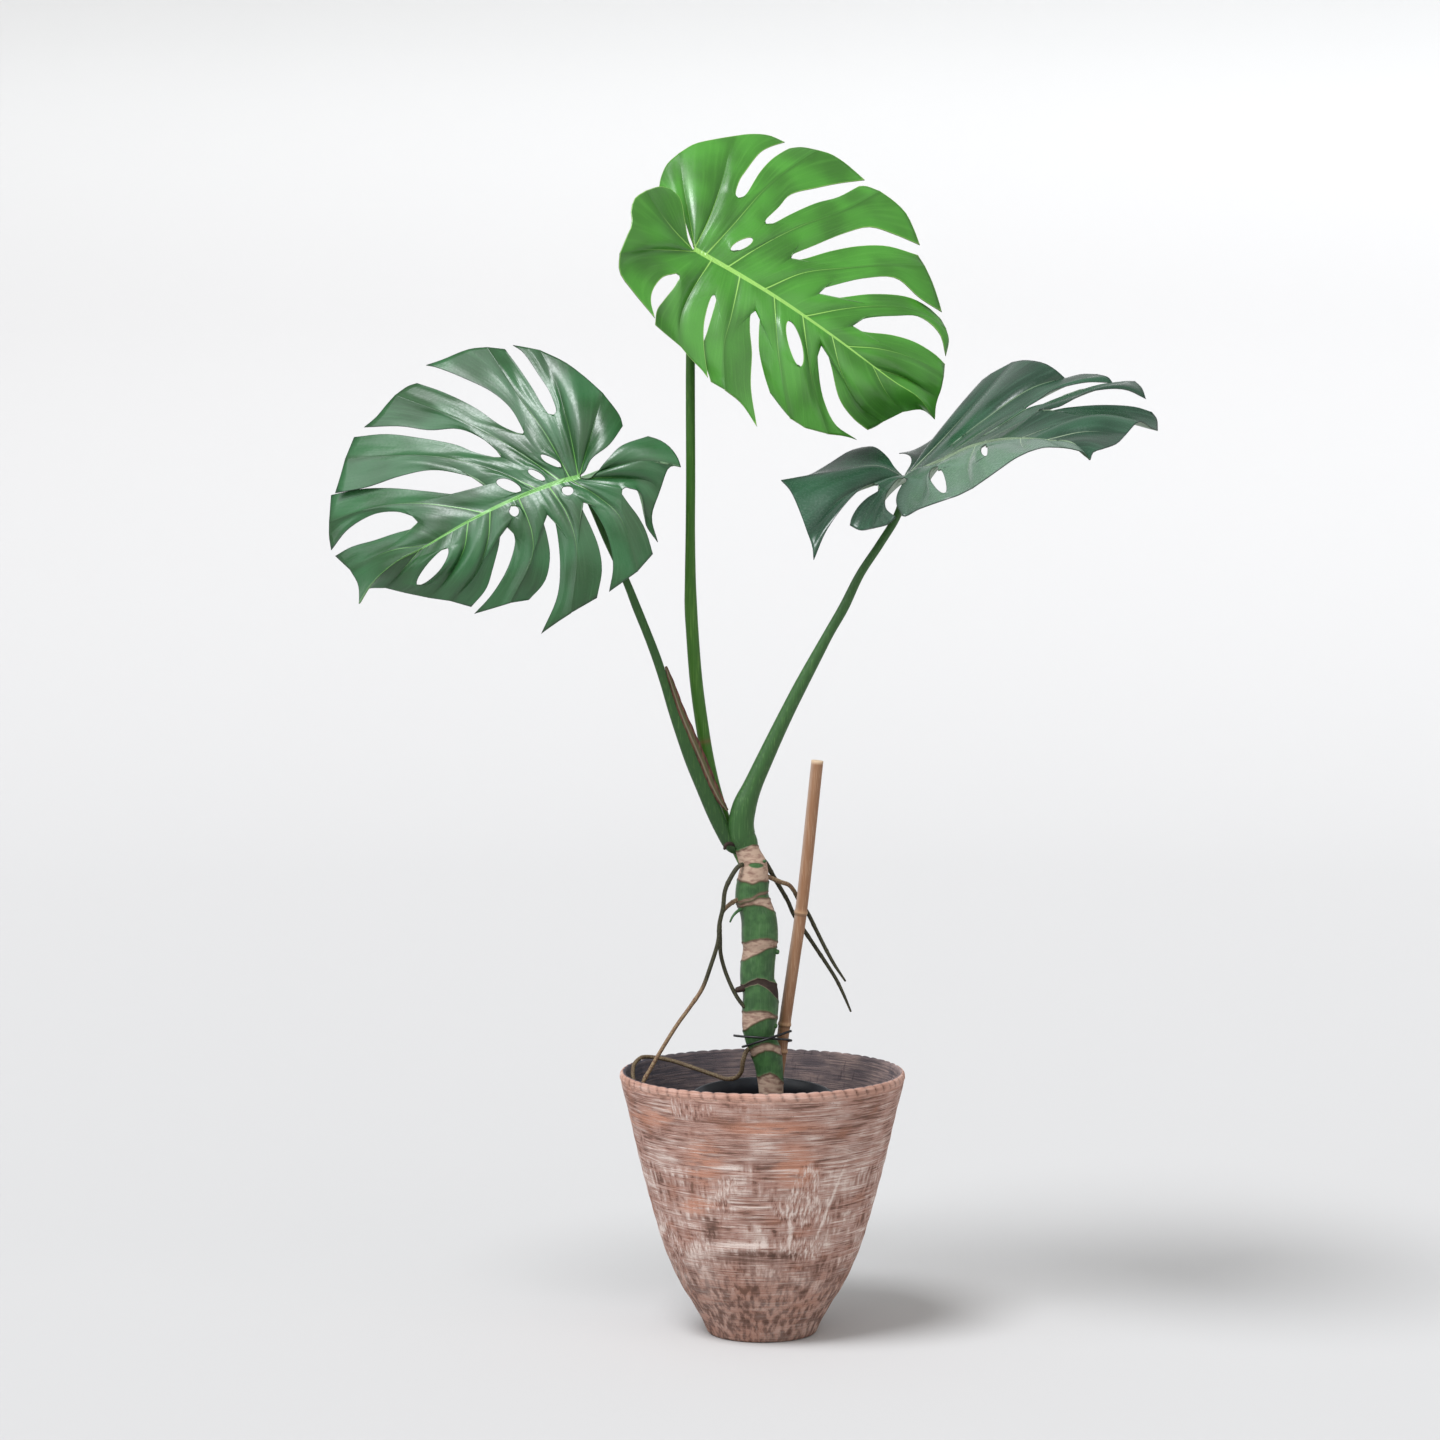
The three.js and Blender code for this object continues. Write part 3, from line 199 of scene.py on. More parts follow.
# -------------------------------------------------------------------- leaves
# Half a leaf is the list of its lines from the notch at the stalk to the tip. Each
# line runs from the midrib to the margin, and the margin points before it lead there.
# away is how far its outer end lies behind the midrib's plane, and a slit has one for
# each of its lips where they overlap. A hole's opening is [start, end, half width], the
# first two as shares of the way along its line, and root is the radius of the round
# inner end of a slit. A blade arches by arch from its midrib to its margin, and by
# pillow or swell more between its veins: by pillow towards the front, and by swell
# square to the blade. joint, depth and slope place the midrib's plane.

def seam(margin, path, away):
    """The crest between two side veins, where nothing opens."""
    return {"margin": margin, "path": path, "away": away, "crest": 1}


def vein(margin, path, away):
    """A side vein: the trough that the blade folds along."""
    return {**seam(margin, path, away), "crest": 0}


def edge(path, away):
    """The blade's edge beside the stalk, where the margin starts."""
    return seam([], path, away)


def tip(margin):
    """The end of the midrib, where the margin ends."""
    return seam(margin, None, None)


def hole(margin, path, opening, away):
    """A seam with a hole in it."""
    return {**seam(margin, path, away), "opening": opening}


def slit(margin, path, opening, basal, apical, away, root):
    """A slit: its path leads to its root, past a hole if opening gives one. Its basal
    and apical lips lead on to the margin."""
    return {**seam(margin, path, away), "opening": opening, "basal": basal, "apical": apical, "root": root}


TOP_LEAF = {
    "upper_side": 1,
    "joint": [694, 249],
    "depth": 30,
    "slope": {"right": 0.40, "up": 0.57},
    "midrib": [[694, 249], [740, 275], [780, 299.5], [833, 336], [895, 382], [918, 397], [935, 419.5]],
    "midrib_away": [0, -14, -10, 22],
    "arch": 5,
    "pillow": 8,
    "swell": 0,
    "upper_half": [
        edge([[694, 249], [691, 238], [686, 224], [676, 206], [659, 187]], 26),
        vein([[661, 177], [667, 164]], [[694, 249], [690, 222], [684, 190], [679, 153]], 22),
        vein([[694, 144], [715, 139]], [[695, 248], [707, 223], [720, 188], [733, 136]], 16),
        slit([[749, 134], [768, 135]], [[701, 252], [722, 222], [738.4, 197.7]], None,
             [[740, 180], [746, 171], [761, 152], [772, 146], [785, 142]],
             [[747, 193], [760, 172], [772, 159], [784, 151], [790, 148]], 18, 4.7),
        vein([[802, 147]], [[707, 252], [733, 225], [768, 186], [803, 159], [818, 150]], 8),
        slit([[831, 154], [844, 162], [856, 172]], [[717, 261], [733, 249], [753, 238], [766, 223.6]],
             [0.28, 0.68, 4.5],
             [[779, 207], [790, 195], [816, 188], [841, 183], [865, 180]],
             [[776, 222], [789, 215], [816, 203], [838, 197], [859, 186]], 16, 3.2),
        vein([[866, 186]], [[729, 267], [761, 246], [803, 225], [845, 210], [880, 191]], 8),
        slit([[894, 201], [906, 213], [914, 229]], [[750, 281], [772, 270], [791.2, 258]], None,
             [[813, 246], [845, 233], [870, 227], [894, 234], [920, 245]],
             [[803, 259], [831, 251], [859, 246], [887, 246], [918, 255]], 18, 3),
        vein([], [[765, 290], [803, 273], [845, 268], [890, 265], [925, 266]], 10),
        slit([[932, 281], [938, 298]], [[792, 307], [819.4, 293.5]], None,
             [[835, 285], [866, 278], [896, 278], [920, 298], [942, 312]],
             [[835, 298], [872, 294], [908, 297], [928, 307], [941, 319]], [10, 20], 4.5),
        vein([], [[806, 317], [843, 309], [880, 306], [915, 310], [946, 328]], 14),
        slit([[949, 340]], [[826, 331], [853, 326]], None,
             [[868, 318], [895, 316], [920, 317], [940, 334], [946, 356]],
             [[866, 332], [892, 335], [915, 342], [936, 355], [945, 364]], [14, 22], 4.5),
        vein([], [[848, 347], [880, 349], [912, 358], [944, 376]], 18),
        vein([[941, 390]], [[878, 370], [905, 378], [925, 390], [938, 398]], 20),
        tip([[936, 406]]),
    ],
    "lower_half": [
        edge([[694, 249], [688.5, 240], [685, 220], [680, 198], [671, 189]], -8),
        vein([[660, 186.4]], [[694, 250], [672, 228], [655, 205], [646, 190.4]], -34),
        vein([[635, 198], [631, 211], [632, 223], [626, 238]],
             [[696, 251], [671, 250], [641, 250], [620, 253]], -40),
        slit([[620, 272], [633, 291], [651, 313]], [[701, 254], [679.3, 275]], None,
             [[663, 277], [653, 290], [651, 301], [655, 318]],
             [[675, 286], [664, 300], [657, 310], [655, 325]], [-22, 12], 4),
        vein([[663, 332]], [[711, 261], [691, 292], [680, 320], [681, 347]], 8),
        slit([[691, 359], [701, 369]], [[723, 266], [714.8, 295.2]], None,
             [[708, 306], [704, 325], [704, 345], [708, 378]],
             [[714, 308], [707, 332], [702, 350], [711, 382]], [6, 16], 2.6),
        vein([], [[740.5, 276.5], [731, 317], [724, 346], [725, 390]], 8),
        slit([[741, 403]], [[757, 286], [755.4, 311]], None,
             [[750, 330], [752, 352], [751, 387], [757, 427]],
             [[759, 328], [759, 350], [764, 374], [770, 393]], 18, 4.9),
        vein([[783, 410]], [[774, 298], [776, 325], [780, 365], [790, 418]], 10),
        hole([], [[788, 305], [789, 320], [800, 364], [805, 428]], [0.12, 0.5, 6.5], 14),
        vein([], [[802, 316], [807, 350], [814, 390], [828, 434]], 12),
        slit([[844, 436]], [[817, 326], [821.3, 346]], None,
             [[818, 362], [823, 397], [836, 425], [857, 440]],
             [[831, 366], [840, 400], [854, 419], [868, 430]], [20, 24], 4),
        vein([[875, 427]], [[832, 337], [842, 374], [860, 405], [883, 422]], 16),
        vein([], [[872, 366], [886, 392], [903, 412]], 18),
        tip([[922, 410]]),
    ],
}

LEFT_LEAF = {
    "upper_side": -1,
    "joint": [580, 477],
    "depth": -20,
    "slope": {"right": -0.23, "up": 0.41},
    "midrib": [[580, 477], [557, 482.5], [507, 502], [468, 521.5], [420, 549.5], [398, 560.5], [373, 582],
        [359, 604]],
    "midrib_away": [0, -12, -6, 26],
    "arch": 6,
    "pillow": 8,
    "swell": 0,
    "upper_half": [
        edge([[580, 477], [584, 472], [591, 459], [610, 444], [623, 426]], 14),
        vein([[620, 416]], [[581, 475], [592, 432], [603, 393]], 12),
        vein([[584, 376], [565, 362]], [[579, 477], [568, 424], [556, 382], [540, 350]], 12),
        slit([[525, 347]], [[575, 478], [565, 445], [553.6, 414.6]], None,
             [[549, 391], [540, 377], [522, 351], [513, 345]],
             [[541, 403], [533, 389], [519, 368], [505, 349]], 20, 4.7),
        vein([], [[570, 479], [545, 433], [519, 396], [487, 347]], 12),
        slit([[469, 349], [441, 360]], [[566, 480], [562, 468], [541.3, 455], [523, 433.6]],
             [0.19, 0.57, 3.5],
             [[511, 409], [492, 392], [464, 378], [436, 367], [426, 365]],
             [[502, 426], [474, 407], [443, 392], [417, 383]], 22, 2.5),
        vein([[408, 386]], [[559, 481], [508, 445], [460, 420], [395, 395]], 14),
        slit([[386, 405], [376, 417]], [[549, 484], [545, 480], [529, 470.5], [501, 457]],
             [0.1, 0.46, 3.5],
             [[484, 440], [459, 429], [429, 430], [400, 426], [364, 427]],
             [[474, 452], [457, 445], [421, 438], [386, 434], [354, 437]], 22, 2),
        vein([], [[536, 490], [508, 476], [467, 462], [418, 455], [345, 459]], 14),
        slit([[340, 477]], [[526, 494], [522, 491], [496, 482], [487.6, 488.4]], [0.1, 0.74, 5.6],
             [[464, 475], [432, 470], [400, 476], [367, 487], [335, 493]],
             [[464, 495], [425, 491], [390, 488], [360, 489], [331, 495]], [14, 24], 6.5),
        vein([], [[483, 513], [460, 508], [411, 503], [370, 508], [329, 522]], 18),
        slit([[329, 536]], [[441, 537], [417.6, 522.3]], None,
             [[398, 512], [375, 514], [348, 529], [331, 550]],
             [[396, 533], [375, 540], [351, 547], [335, 556]], 26, 6.5),
        vein([], [[426, 546], [390, 551], [350, 570]], 24),
        tip([[358, 585]]),
    ],
    "lower_half": [
        edge([[580, 477], [591, 478], [605, 462], [621, 446], [648, 436]], 16),
        vein([[660, 440], [670, 447], [678, 458]], [[585, 478], [608, 469], [648, 461], [681, 467]], 12),
        vein([[674, 466], [669, 468]], [[581, 479], [627, 478], [650, 482], [660, 491]], 14),
        slit([[652, 517]], [[577, 480], [600, 484], [622.5, 489.3]], None,
             [[640, 492], [645, 512], [647, 526], [658, 542]],
             [[629, 504], [638, 516], [646, 531], [653, 554]], 18, 5),
        vein([], [[572, 481], [601, 499], [620, 517], [638, 571]], 12),
        slit([[627, 579]], [[562, 484], [565, 488.5], [572, 492.6], [583.6, 502.6]], [0.14, 0.52, 5],
             [[597, 515], [607, 535], [613, 565], [609, 592]],
             [[591, 527], [599, 548], [602, 570], [597, 598]], 18, 4),
        vein([], [[549, 487], [567, 514], [577, 550], [571, 613]], 12),
        slit([[556, 623]], [[534, 491], [547.4, 515]], None,
             [[557, 532], [560, 567], [557, 597], [541, 634]],
             [[547, 535], [550, 556], [545, 581], [529, 600]], 20, 5.5),
        vein([], [[519, 499], [532, 533], [532, 558], [510, 603]], 12),
        slit([[491, 609]], [[507, 504], [512.6, 507], [514, 515], [507.3, 527.6]], [0.16, 0.56, 5],
             [[515, 542], [508, 567], [492, 594], [474, 614]],
             [[499, 545], [493, 568], [486, 589], [471, 607]], 20, 6.5),
        vein([], [[491, 511], [488, 540], [475, 575], [450, 601]], 14),
        vein([], [[469, 523], [463, 552], [443, 583], [429, 598]], 16),
        hole([], [[453, 532], [446, 550], [416, 586], [405, 593]], [0.22, 0.82, 6.5], 20),
        vein([], [[420, 550], [400, 573], [385, 588]], 24),
        tip([[366, 590]]),
    ],
}

RIGHT_LEAF = {
    "upper_side": 1,
    "joint": [905, 477],
    "depth": 20,
    "slope": {"right": 0, "up": 0},
    "midrib": [[905, 477], [943, 459], [970, 446.5], [1004, 439], [1042, 439.3], [1069, 445],
        [1090, 460]],
    "midrib_away": [0, -80, -185, -272],
    "arch": 0,
    "pillow": 0,
    "swell": 5,
    "upper_half": [
        edge([[905, 477], [912, 468], [911, 461], [905, 456], [899, 453]], 80),
        vein([[913, 450], [931, 440]], [[907, 475], [918, 462], [935, 445], [949, 423]], 118),
        vein([[967, 398], [983, 379]], [[910, 473], [945, 437], [985, 392], [1012, 362]], 84),
        seam([[1024, 360], [1044, 363], [1056, 370]],
             [[930, 465], [985, 425], [1030, 392], [1065, 378]], 10),
        vein([[1081, 374]], [[945, 458], [1000, 421], [1060, 388], [1097, 374]], -28),
        slit([[1108, 377]], [[962, 450], [1000, 431], [1029, 413]], None,
             [[1040, 403], [1056, 392], [1086, 383], [1113, 383]],
             [[1047, 407], [1068, 398], [1090, 389], [1115, 384]], [-56, -60], 2.5),
        vein([[1124, 381]], [[985, 442], [1040, 413], [1097, 389], [1135, 381]], -82),
        slit([[1142, 388]], [[1004, 439], [1024, 427], [1041, 415]], None,
             [[1061, 409], [1097, 392], [1125, 390], [1146, 399]],
             [[1062, 411], [1100, 406], [1135, 407], [1152, 412]], [-120, -128], 2.5),
        vein([[1157, 419]], [[1022, 438.6], [1060, 425], [1110, 419], [1158, 430]], -160),
        vein([[1152, 428], [1140, 421]], [[1048, 440.5], [1085, 432], [1126, 434]], -216),
        tip([[1117, 443], [1104, 448], [1093, 452]]),
    ],
    "lower_half": [
        edge([[905, 477], [895, 472], [888, 461], [876, 450], [862, 447]], 54),
        vein([[849, 451], [825, 466], [806, 476]],
             [[904, 478], [880, 466], [840, 470], [781, 480]], -22),
        vein([[790, 490], [800, 512]], [[905, 478], [875, 484], [840, 500], [808, 534]], -84),
        slit([[812, 546]], [[911, 474], [895, 480], [878, 489]], None,
             [[863, 492], [842, 511], [824, 535], [814, 560]],
             [[866, 499], [857, 508], [851, 519], [850, 525]], -102, 3),
        vein([[860, 530]], [[922, 469], [897, 486], [880, 506], [873, 528]], -132),
        slit([[888, 524]], [[933, 464], [918, 472], [905, 482]], None,
             [[895, 488], [888, 498], [887, 509], [896, 517]],
             [[900, 489], [896, 497], [896, 505], [902, 515]], -152, 3),
        vein([[905, 516]], [[944, 458.5], [930, 478], [918, 509]], -172),
        hole([[926, 506]], [[954, 454], [939, 473], [942, 488], [949, 498]], [0.42, 0.9, 6.4], -198),
        vein([[958, 495]], [[975, 445], [968, 468], [972, 488]], -222),
        hole([[985, 479]], [[994, 441], [987, 450], [990, 462], [999, 469]], [0.25, 0.6, 2.9], -244),
        vein([[1015, 458]], [[1020, 438.6], [1022, 446], [1029, 451]], -266),
        vein([[1044, 447]], [[1048, 440.5], [1055, 444], [1062, 447]], -270),
        tip([[1074, 449], [1085, 453]]),
    ],
}

# midrib and veins in millimetres; a vein also stands out below the blade
MIDRIB_HALF_WIDTH = 1.6
VEIN_HALF_WIDTH = 1.1
VEIN_DEPTH_BELOW = 0.9
# A line has this many steps from midrib to margin. A slit has the first part of them
# up to its root, and the rest, crowded towards the root by the easing, along its lips.
ROWS_IN = 27
ROWS_OUT = 27
ROWS = ROWS_IN + ROWS_OUT
ROOT_REACH = 0.55
LIP_EASING = 1.6
# steps across the strip between two lines
COLUMNS = 14
# how near to a crest it gets half way between two veins with no seam between them
VEIN_TO_VEIN_CREST = 0.6
# stands for the distance to a vein or rim that a strip doesn't have
FAR_MM = 60.0
# What each point of a blade carries. crest is 0 on a vein and 1 on a slit or seam,
# reach goes from 0 at the midrib to 1 at the margin, along from 0 to 1 up the midrib,
# and strip counts the strips from the stalk on. from_vein and from_edge are the
# distances to the nearest vein and rim, and run the one to the midrib, in millimetres.
# lower is 1 on the lower half.
FIELD_NAMES = ["crest", "reach", "from_vein", "run", "from_edge", "along", "strip", "lower"]


def midrib_side(midrib, s, side):
    """Points on one side of the midrib band, whose half width falls to nothing at the
    tip: the midrib's point plus its normal times the half width."""
    s = np.asarray(s, float)
    run = unit(midrib(s + 0.01) - midrib(s - 0.01))
    normal = np.stack([run[..., 1], -run[..., 0]], -1)
    return midrib(s) + normal * (side * MIDRIB_HALF_WIDTH * (1 - s))[..., None]


def lip_away(line, lip):
    """How far behind the midrib's plane a lip of a line ends."""
    return line["away"][lip] if isinstance(line["away"], list) else line["away"]


def row_away(line, at_foot, at_end, reach):
    """The same along a line: even from its foot to the middle of its lips, and then
    each lip parts from that by its own share."""
    if line["path"] is None:
        return np.full(reach.shape, at_end)
    middle = (lip_away(line, 0) + lip_away(line, 1)) / 2
    parting = np.maximum(0, (reach - ROOT_REACH) / (1 - ROOT_REACH))
    return at_foot + (middle - at_foot) * reach + (at_end - middle) * parting


def hole_rows(opening, count):
    """Where the rows of a line stand along it, from 0 to 1, how far a hole parts its
    two sides there, and which rows are open. Round a hole both follow a half ellipse:
    cos(pi * share) along it and half width * sin(pi * share) across."""
    index = np.arange(count + 1)
    if not opening:
        return index / count, np.zeros(count + 1), np.zeros(count + 1, bool)
    start, end, half = opening
    first = max(1, round(start * count))
    last = min(count - 1, max(first + 3, round(end * count)))
    phase = np.pi * np.clip((index - first) / (last - first), 0, 1)
    opened = (index > first) & (index < last)
    stops = np.interp(index, [0, first, last, count], [0, start, end, 1])
    stops = np.where(opened, start + (end - start) * (0.5 - 0.5 * np.cos(phase)), stops)
    return stops, half * np.sin(phase), opened


def slit_lips(line, eased):
    """The rows of a slit's two lips past its root: each leaves the root round a quarter
    circle and runs on through the lip's points to the margin."""
    root = np.asarray(line["path"][-1], float)
    lips = [np.asarray(line[key], float) for key in ("basal", "apical")]
    ahead = unit((lips[0][0] + lips[1][0]) / 2 - root)
    beside = np.array([-ahead[1], ahead[0]])
    radius = min(line["root"], 0.5 * np.linalg.norm(lips[0][0] - lips[1][0]))
    rows = []
    for lip in lips:
        toward = beside * np.sign((lip[0] - root) @ beside)
        bend = root + radius * ((1 - math.sqrt(0.5)) * ahead + math.sqrt(0.5) * toward)
        shoulder = root + radius * (ahead + toward)
        rows.append(smooth_path(np.vstack([root, bend, shoulder, lip]))(eased))
    return rows


def line_rows(line, midrib, side):
    """The two sides of a line as rows of front-view points from midrib to margin, which
    a hole or a slit parts. Also each row's reach from 0 to 1 and where it is open."""
    if line["path"] is None:
        rows = np.repeat(midrib(1.0)[None], ROWS + 1, 0)
        return {"foot": 1.0, "basal": rows, "apical": rows, "reach": np.ones(ROWS + 1),
                "open": np.zeros(ROWS + 1, bool)}
    path = np.asarray(line["path"], float)
    fractions = np.linspace(0, 1, 201)
    foot = fractions[np.argmin(np.linalg.norm(midrib(fractions) - path[0], axis=1))]
    inner = smooth_path(np.vstack([midrib_side(midrib, foot, side)[None], path[1:]]))
    is_slit = "basal" in line
    stops, width, opened = hole_rows(line.get("opening"), ROWS_IN if is_slit else ROWS)
    run = unit(inner(stops + 0.02) - inner(stops - 0.02))
    toward_tip = midrib(1.0) - midrib(0.0)
    normal = np.stack([-run[:, 1], run[:, 0]], -1)
    normal *= np.sign(normal @ toward_tip + 1e-9)[:, None]
    rows = [inner(stops) - normal * width[:, None], inner(stops) + normal * width[:, None]]
    reach = stops
    if is_slit:
        eased = (np.arange(1, ROWS_OUT + 1) / ROWS_OUT) ** LIP_EASING
        rows = [np.vstack(pair) for pair in zip(rows, slit_lips(line, eased))]
        reach = np.concatenate([stops * ROOT_REACH, ROOT_REACH + (1 - ROOT_REACH) * eased])
        opened = np.concatenate([opened, np.ones(ROWS_OUT, bool)])
    return {"foot": foot, "basal": rows[0], "apical": rows[1], "reach": reach, "open": opened}


# shares of the way across a strip, crowded towards its two lines
ACROSS = 0.5 - 0.5 * np.cos(np.pi * np.arange(COLUMNS + 1) / COLUMNS)


def bulge(crest):
    """How far the blade swells between its veins: 1 - (1 - crest)^2."""
    return 1 - (1 - crest) ** 2


def crest_at(start, end, q):
    """How near a place across a strip is to a crest: straight from 0 on a vein to 1 on a
    slit or seam, and a share of 4 q (1 - q) between two veins."""
    if start + end == 0:
        return VEIN_TO_VEIN_CREST * 4 * q * (1 - q)
    return start + (end - start) * q


def lean_at(start, end, q):
    """The share of the way from one line's depth to the next one's, level at a crest."""
    if start == end:
        return q
    return 1 - (1 - q) ** 2 if start < end else q ** 2


def coons(a, b, inner, outer, share):
    """A Coons patch, P(r, q) = (1 - q) A(r) + q B(r) + (1 - r) (inner(q) - ruled inner)
    + r (outer(q) - ruled outer), with r along the lines A and B and q across them."""
    r = np.arange(ROWS + 1) / ROWS
    ruled = a[None] + (b - a)[None] * share[:, None]
    return (ruled + (inner - ruled[:, 0])[:, None] * (1 - r)[None]
            + (outer - ruled[:, -1])[:, None] * r[None])


def strip_patch(leaf, midrib, pair, rows, side):
    """The blade between two lines: front-view position and depth are Coons patches.
    Depth is lessened by (arch + pillow * bulge) * sin(pi * reach). Gives the points,
    their crest and reach, and how far up the midrib each column stands."""
    (line, nxt), (start, end) = pair, rows
    slope = leaf["slope"]

    def spine(s):
        stations = np.column_stack([range(4), leaf["midrib_away"]])
        return spline_at(stations, 3 * np.asarray(s))[..., 1]

    q = ACROSS
    crests = line["crest"], nxt["crest"]
    away_a = lip_away(line, 1)
    away_b = spine(1.0) if nxt["path"] is None else lip_away(nxt, 0)
    corners = [start["apical"][-1], *nxt["margin"], end["basal"][-1]]
    margin = smooth_path(np.array(corners, float))(q)
    s = start["foot"] + (end["foot"] - start["foot"]) * q
    inner = midrib_side(midrib, s, side)
    lean = lean_at(*crests, q)
    x, y = (coons(start["apical"][:, k], end["basal"][:, k], inner[:, k], margin[:, k], q)
            for k in (0, 1))
    away = coons(row_away(line, spine(start["foot"]), away_a, start["reach"]),
                 row_away(nxt, spine(end["foot"]), away_b, end["reach"]),
                 spine(s), away_a + (away_b - away_a) * lean, lean)
    reach = start["reach"][None] + (end["reach"] - start["reach"])[None] * q[:, None]
    crest = crest_at(*crests, q)[:, None] + 0 * reach
    plane = slope["right"] * (x - leaf["joint"][0]) + slope["up"] * (leaf["joint"][1] - y)
    rise = (leaf["arch"] + leaf["pillow"] * bulge(crest)) * np.sin(np.pi * reach)
    return seen(np.stack([x, y], -1), leaf["depth"] + plane + away - rise), crest, reach, s


def strip_distances(patch, pair, rows, is_first):
    """How far each point of a strip lies from its nearest vein, from the midrib along
    its column, and from its nearest rim. Across the strip it is the share of the way
    times the strip's width there."""
    (line, nxt), (start, end) = pair, rows
    q = ACROSS[:, None]
    width = np.linalg.norm(patch[-1] - patch[0], axis=1)[None]
    steps = np.linalg.norm(np.diff(patch, axis=1), axis=2)
    run = np.concatenate([np.zeros((COLUMNS + 1, 1)), np.cumsum(steps, axis=1)], 1)
    to_line, to_next = q * width, (1 - q) * width
    from_vein = np.minimum(FAR_MM if line["crest"] else to_line, FAR_MM if nxt["crest"] else to_next)
    from_edge = np.minimum.reduce([np.where(start["open"][None] | is_first, to_line, FAR_MM),
                                   np.where(end["open"][None], to_next, FAR_MM), run[:, -1:] - run])
    return from_vein + 0 * run, run, from_edge


def leaf_half(leaf, lines, side):
    """One half of a blade, strip by strip: its points, the fields that its veins and
    rims follow, its quads, and the feet of its columns on the midrib band. Two strips
    share the points of the line between them, except where it is open."""
    midrib = smooth_path(leaf["midrib"])
    rows = [line_rows(line, midrib, side) for line in lines]
    points, fields, faces, band = [], [], [], []
    total = 0
    previous = None
    for j in range(len(lines) - 1):
        pair, pair_rows = lines[j:j + 2], rows[j:j + 2]
        patch, crest, reach, s = strip_patch(leaf, midrib, pair, pair_rows, side)
        from_vein, run, from_edge = strip_distances(patch, pair, pair_rows, previous is None)
        count = (COLUMNS + 1) * (ROWS + 1)
        grid = total + np.arange(count).reshape(COLUMNS + 1, ROWS + 1)
        if previous is not None:
            grid[0] = np.where(pair_rows[0]["open"], grid[0], previous[-1])
        total += count
        points.append(patch.reshape(-1, 3))
        fields.append(np.stack([crest, reach, from_vein, run, from_edge, s[:, None] + 0 * run,
                                j + ACROSS[:, None] + 0 * run], -1).reshape(count, -1))
        corners = [grid[:-1, :-1], grid[1:, :-1], grid[1:, 1:], grid[:-1, 1:]]
        quads = np.stack(corners, -1).reshape(-1, 4)
        faces.append(quads if side > 0 else quads[:, ::-1])
        first = 0 if previous is None else 1
        band.append(np.column_stack([grid[first:, 0], s[first:]]))
        previous = grid
    return np.vstack(points), np.vstack(fields), np.vstack(faces), np.vstack(band)


def zip_band(upper, lower, side):
    """Triangles that close the midrib band: the feet of both halves are taken in the
    order of their place along the midrib, each joined to the last one opposite."""
    steps = np.concatenate([upper[1:, 1], lower[1:, 1]])
    is_upper = np.arange(len(steps)) < len(upper) - 1
    order = np.lexsort([~is_upper, steps])
    is_upper = is_upper[order]
    i = np.concatenate([[0], np.cumsum(is_upper)[:-1]])
    j = np.concatenate([[0], np.cumsum(~is_upper)[:-1]])
    third = np.where(is_upper, upper[np.minimum(i + 1, len(upper) - 1), 0],
                     lower[np.minimum(j + 1, len(lower) - 1), 0])
    triangles = np.column_stack([upper[i, 0], lower[j, 0], third]).astype(int)
    return triangles if side > 0 else triangles[:, ::-1]


def point_normals(points, triangles):
    """Area-weighted normals: each triangle's cross product summed at its corners."""
    corners = points[triangles]
    normal = np.cross(corners[:, 1] - corners[:, 0], corners[:, 2] - corners[:, 0])
    total = np.zeros_like(points)
    for k in range(3):
        np.add.at(total, triangles[:, k], normal)
    return unit(total)


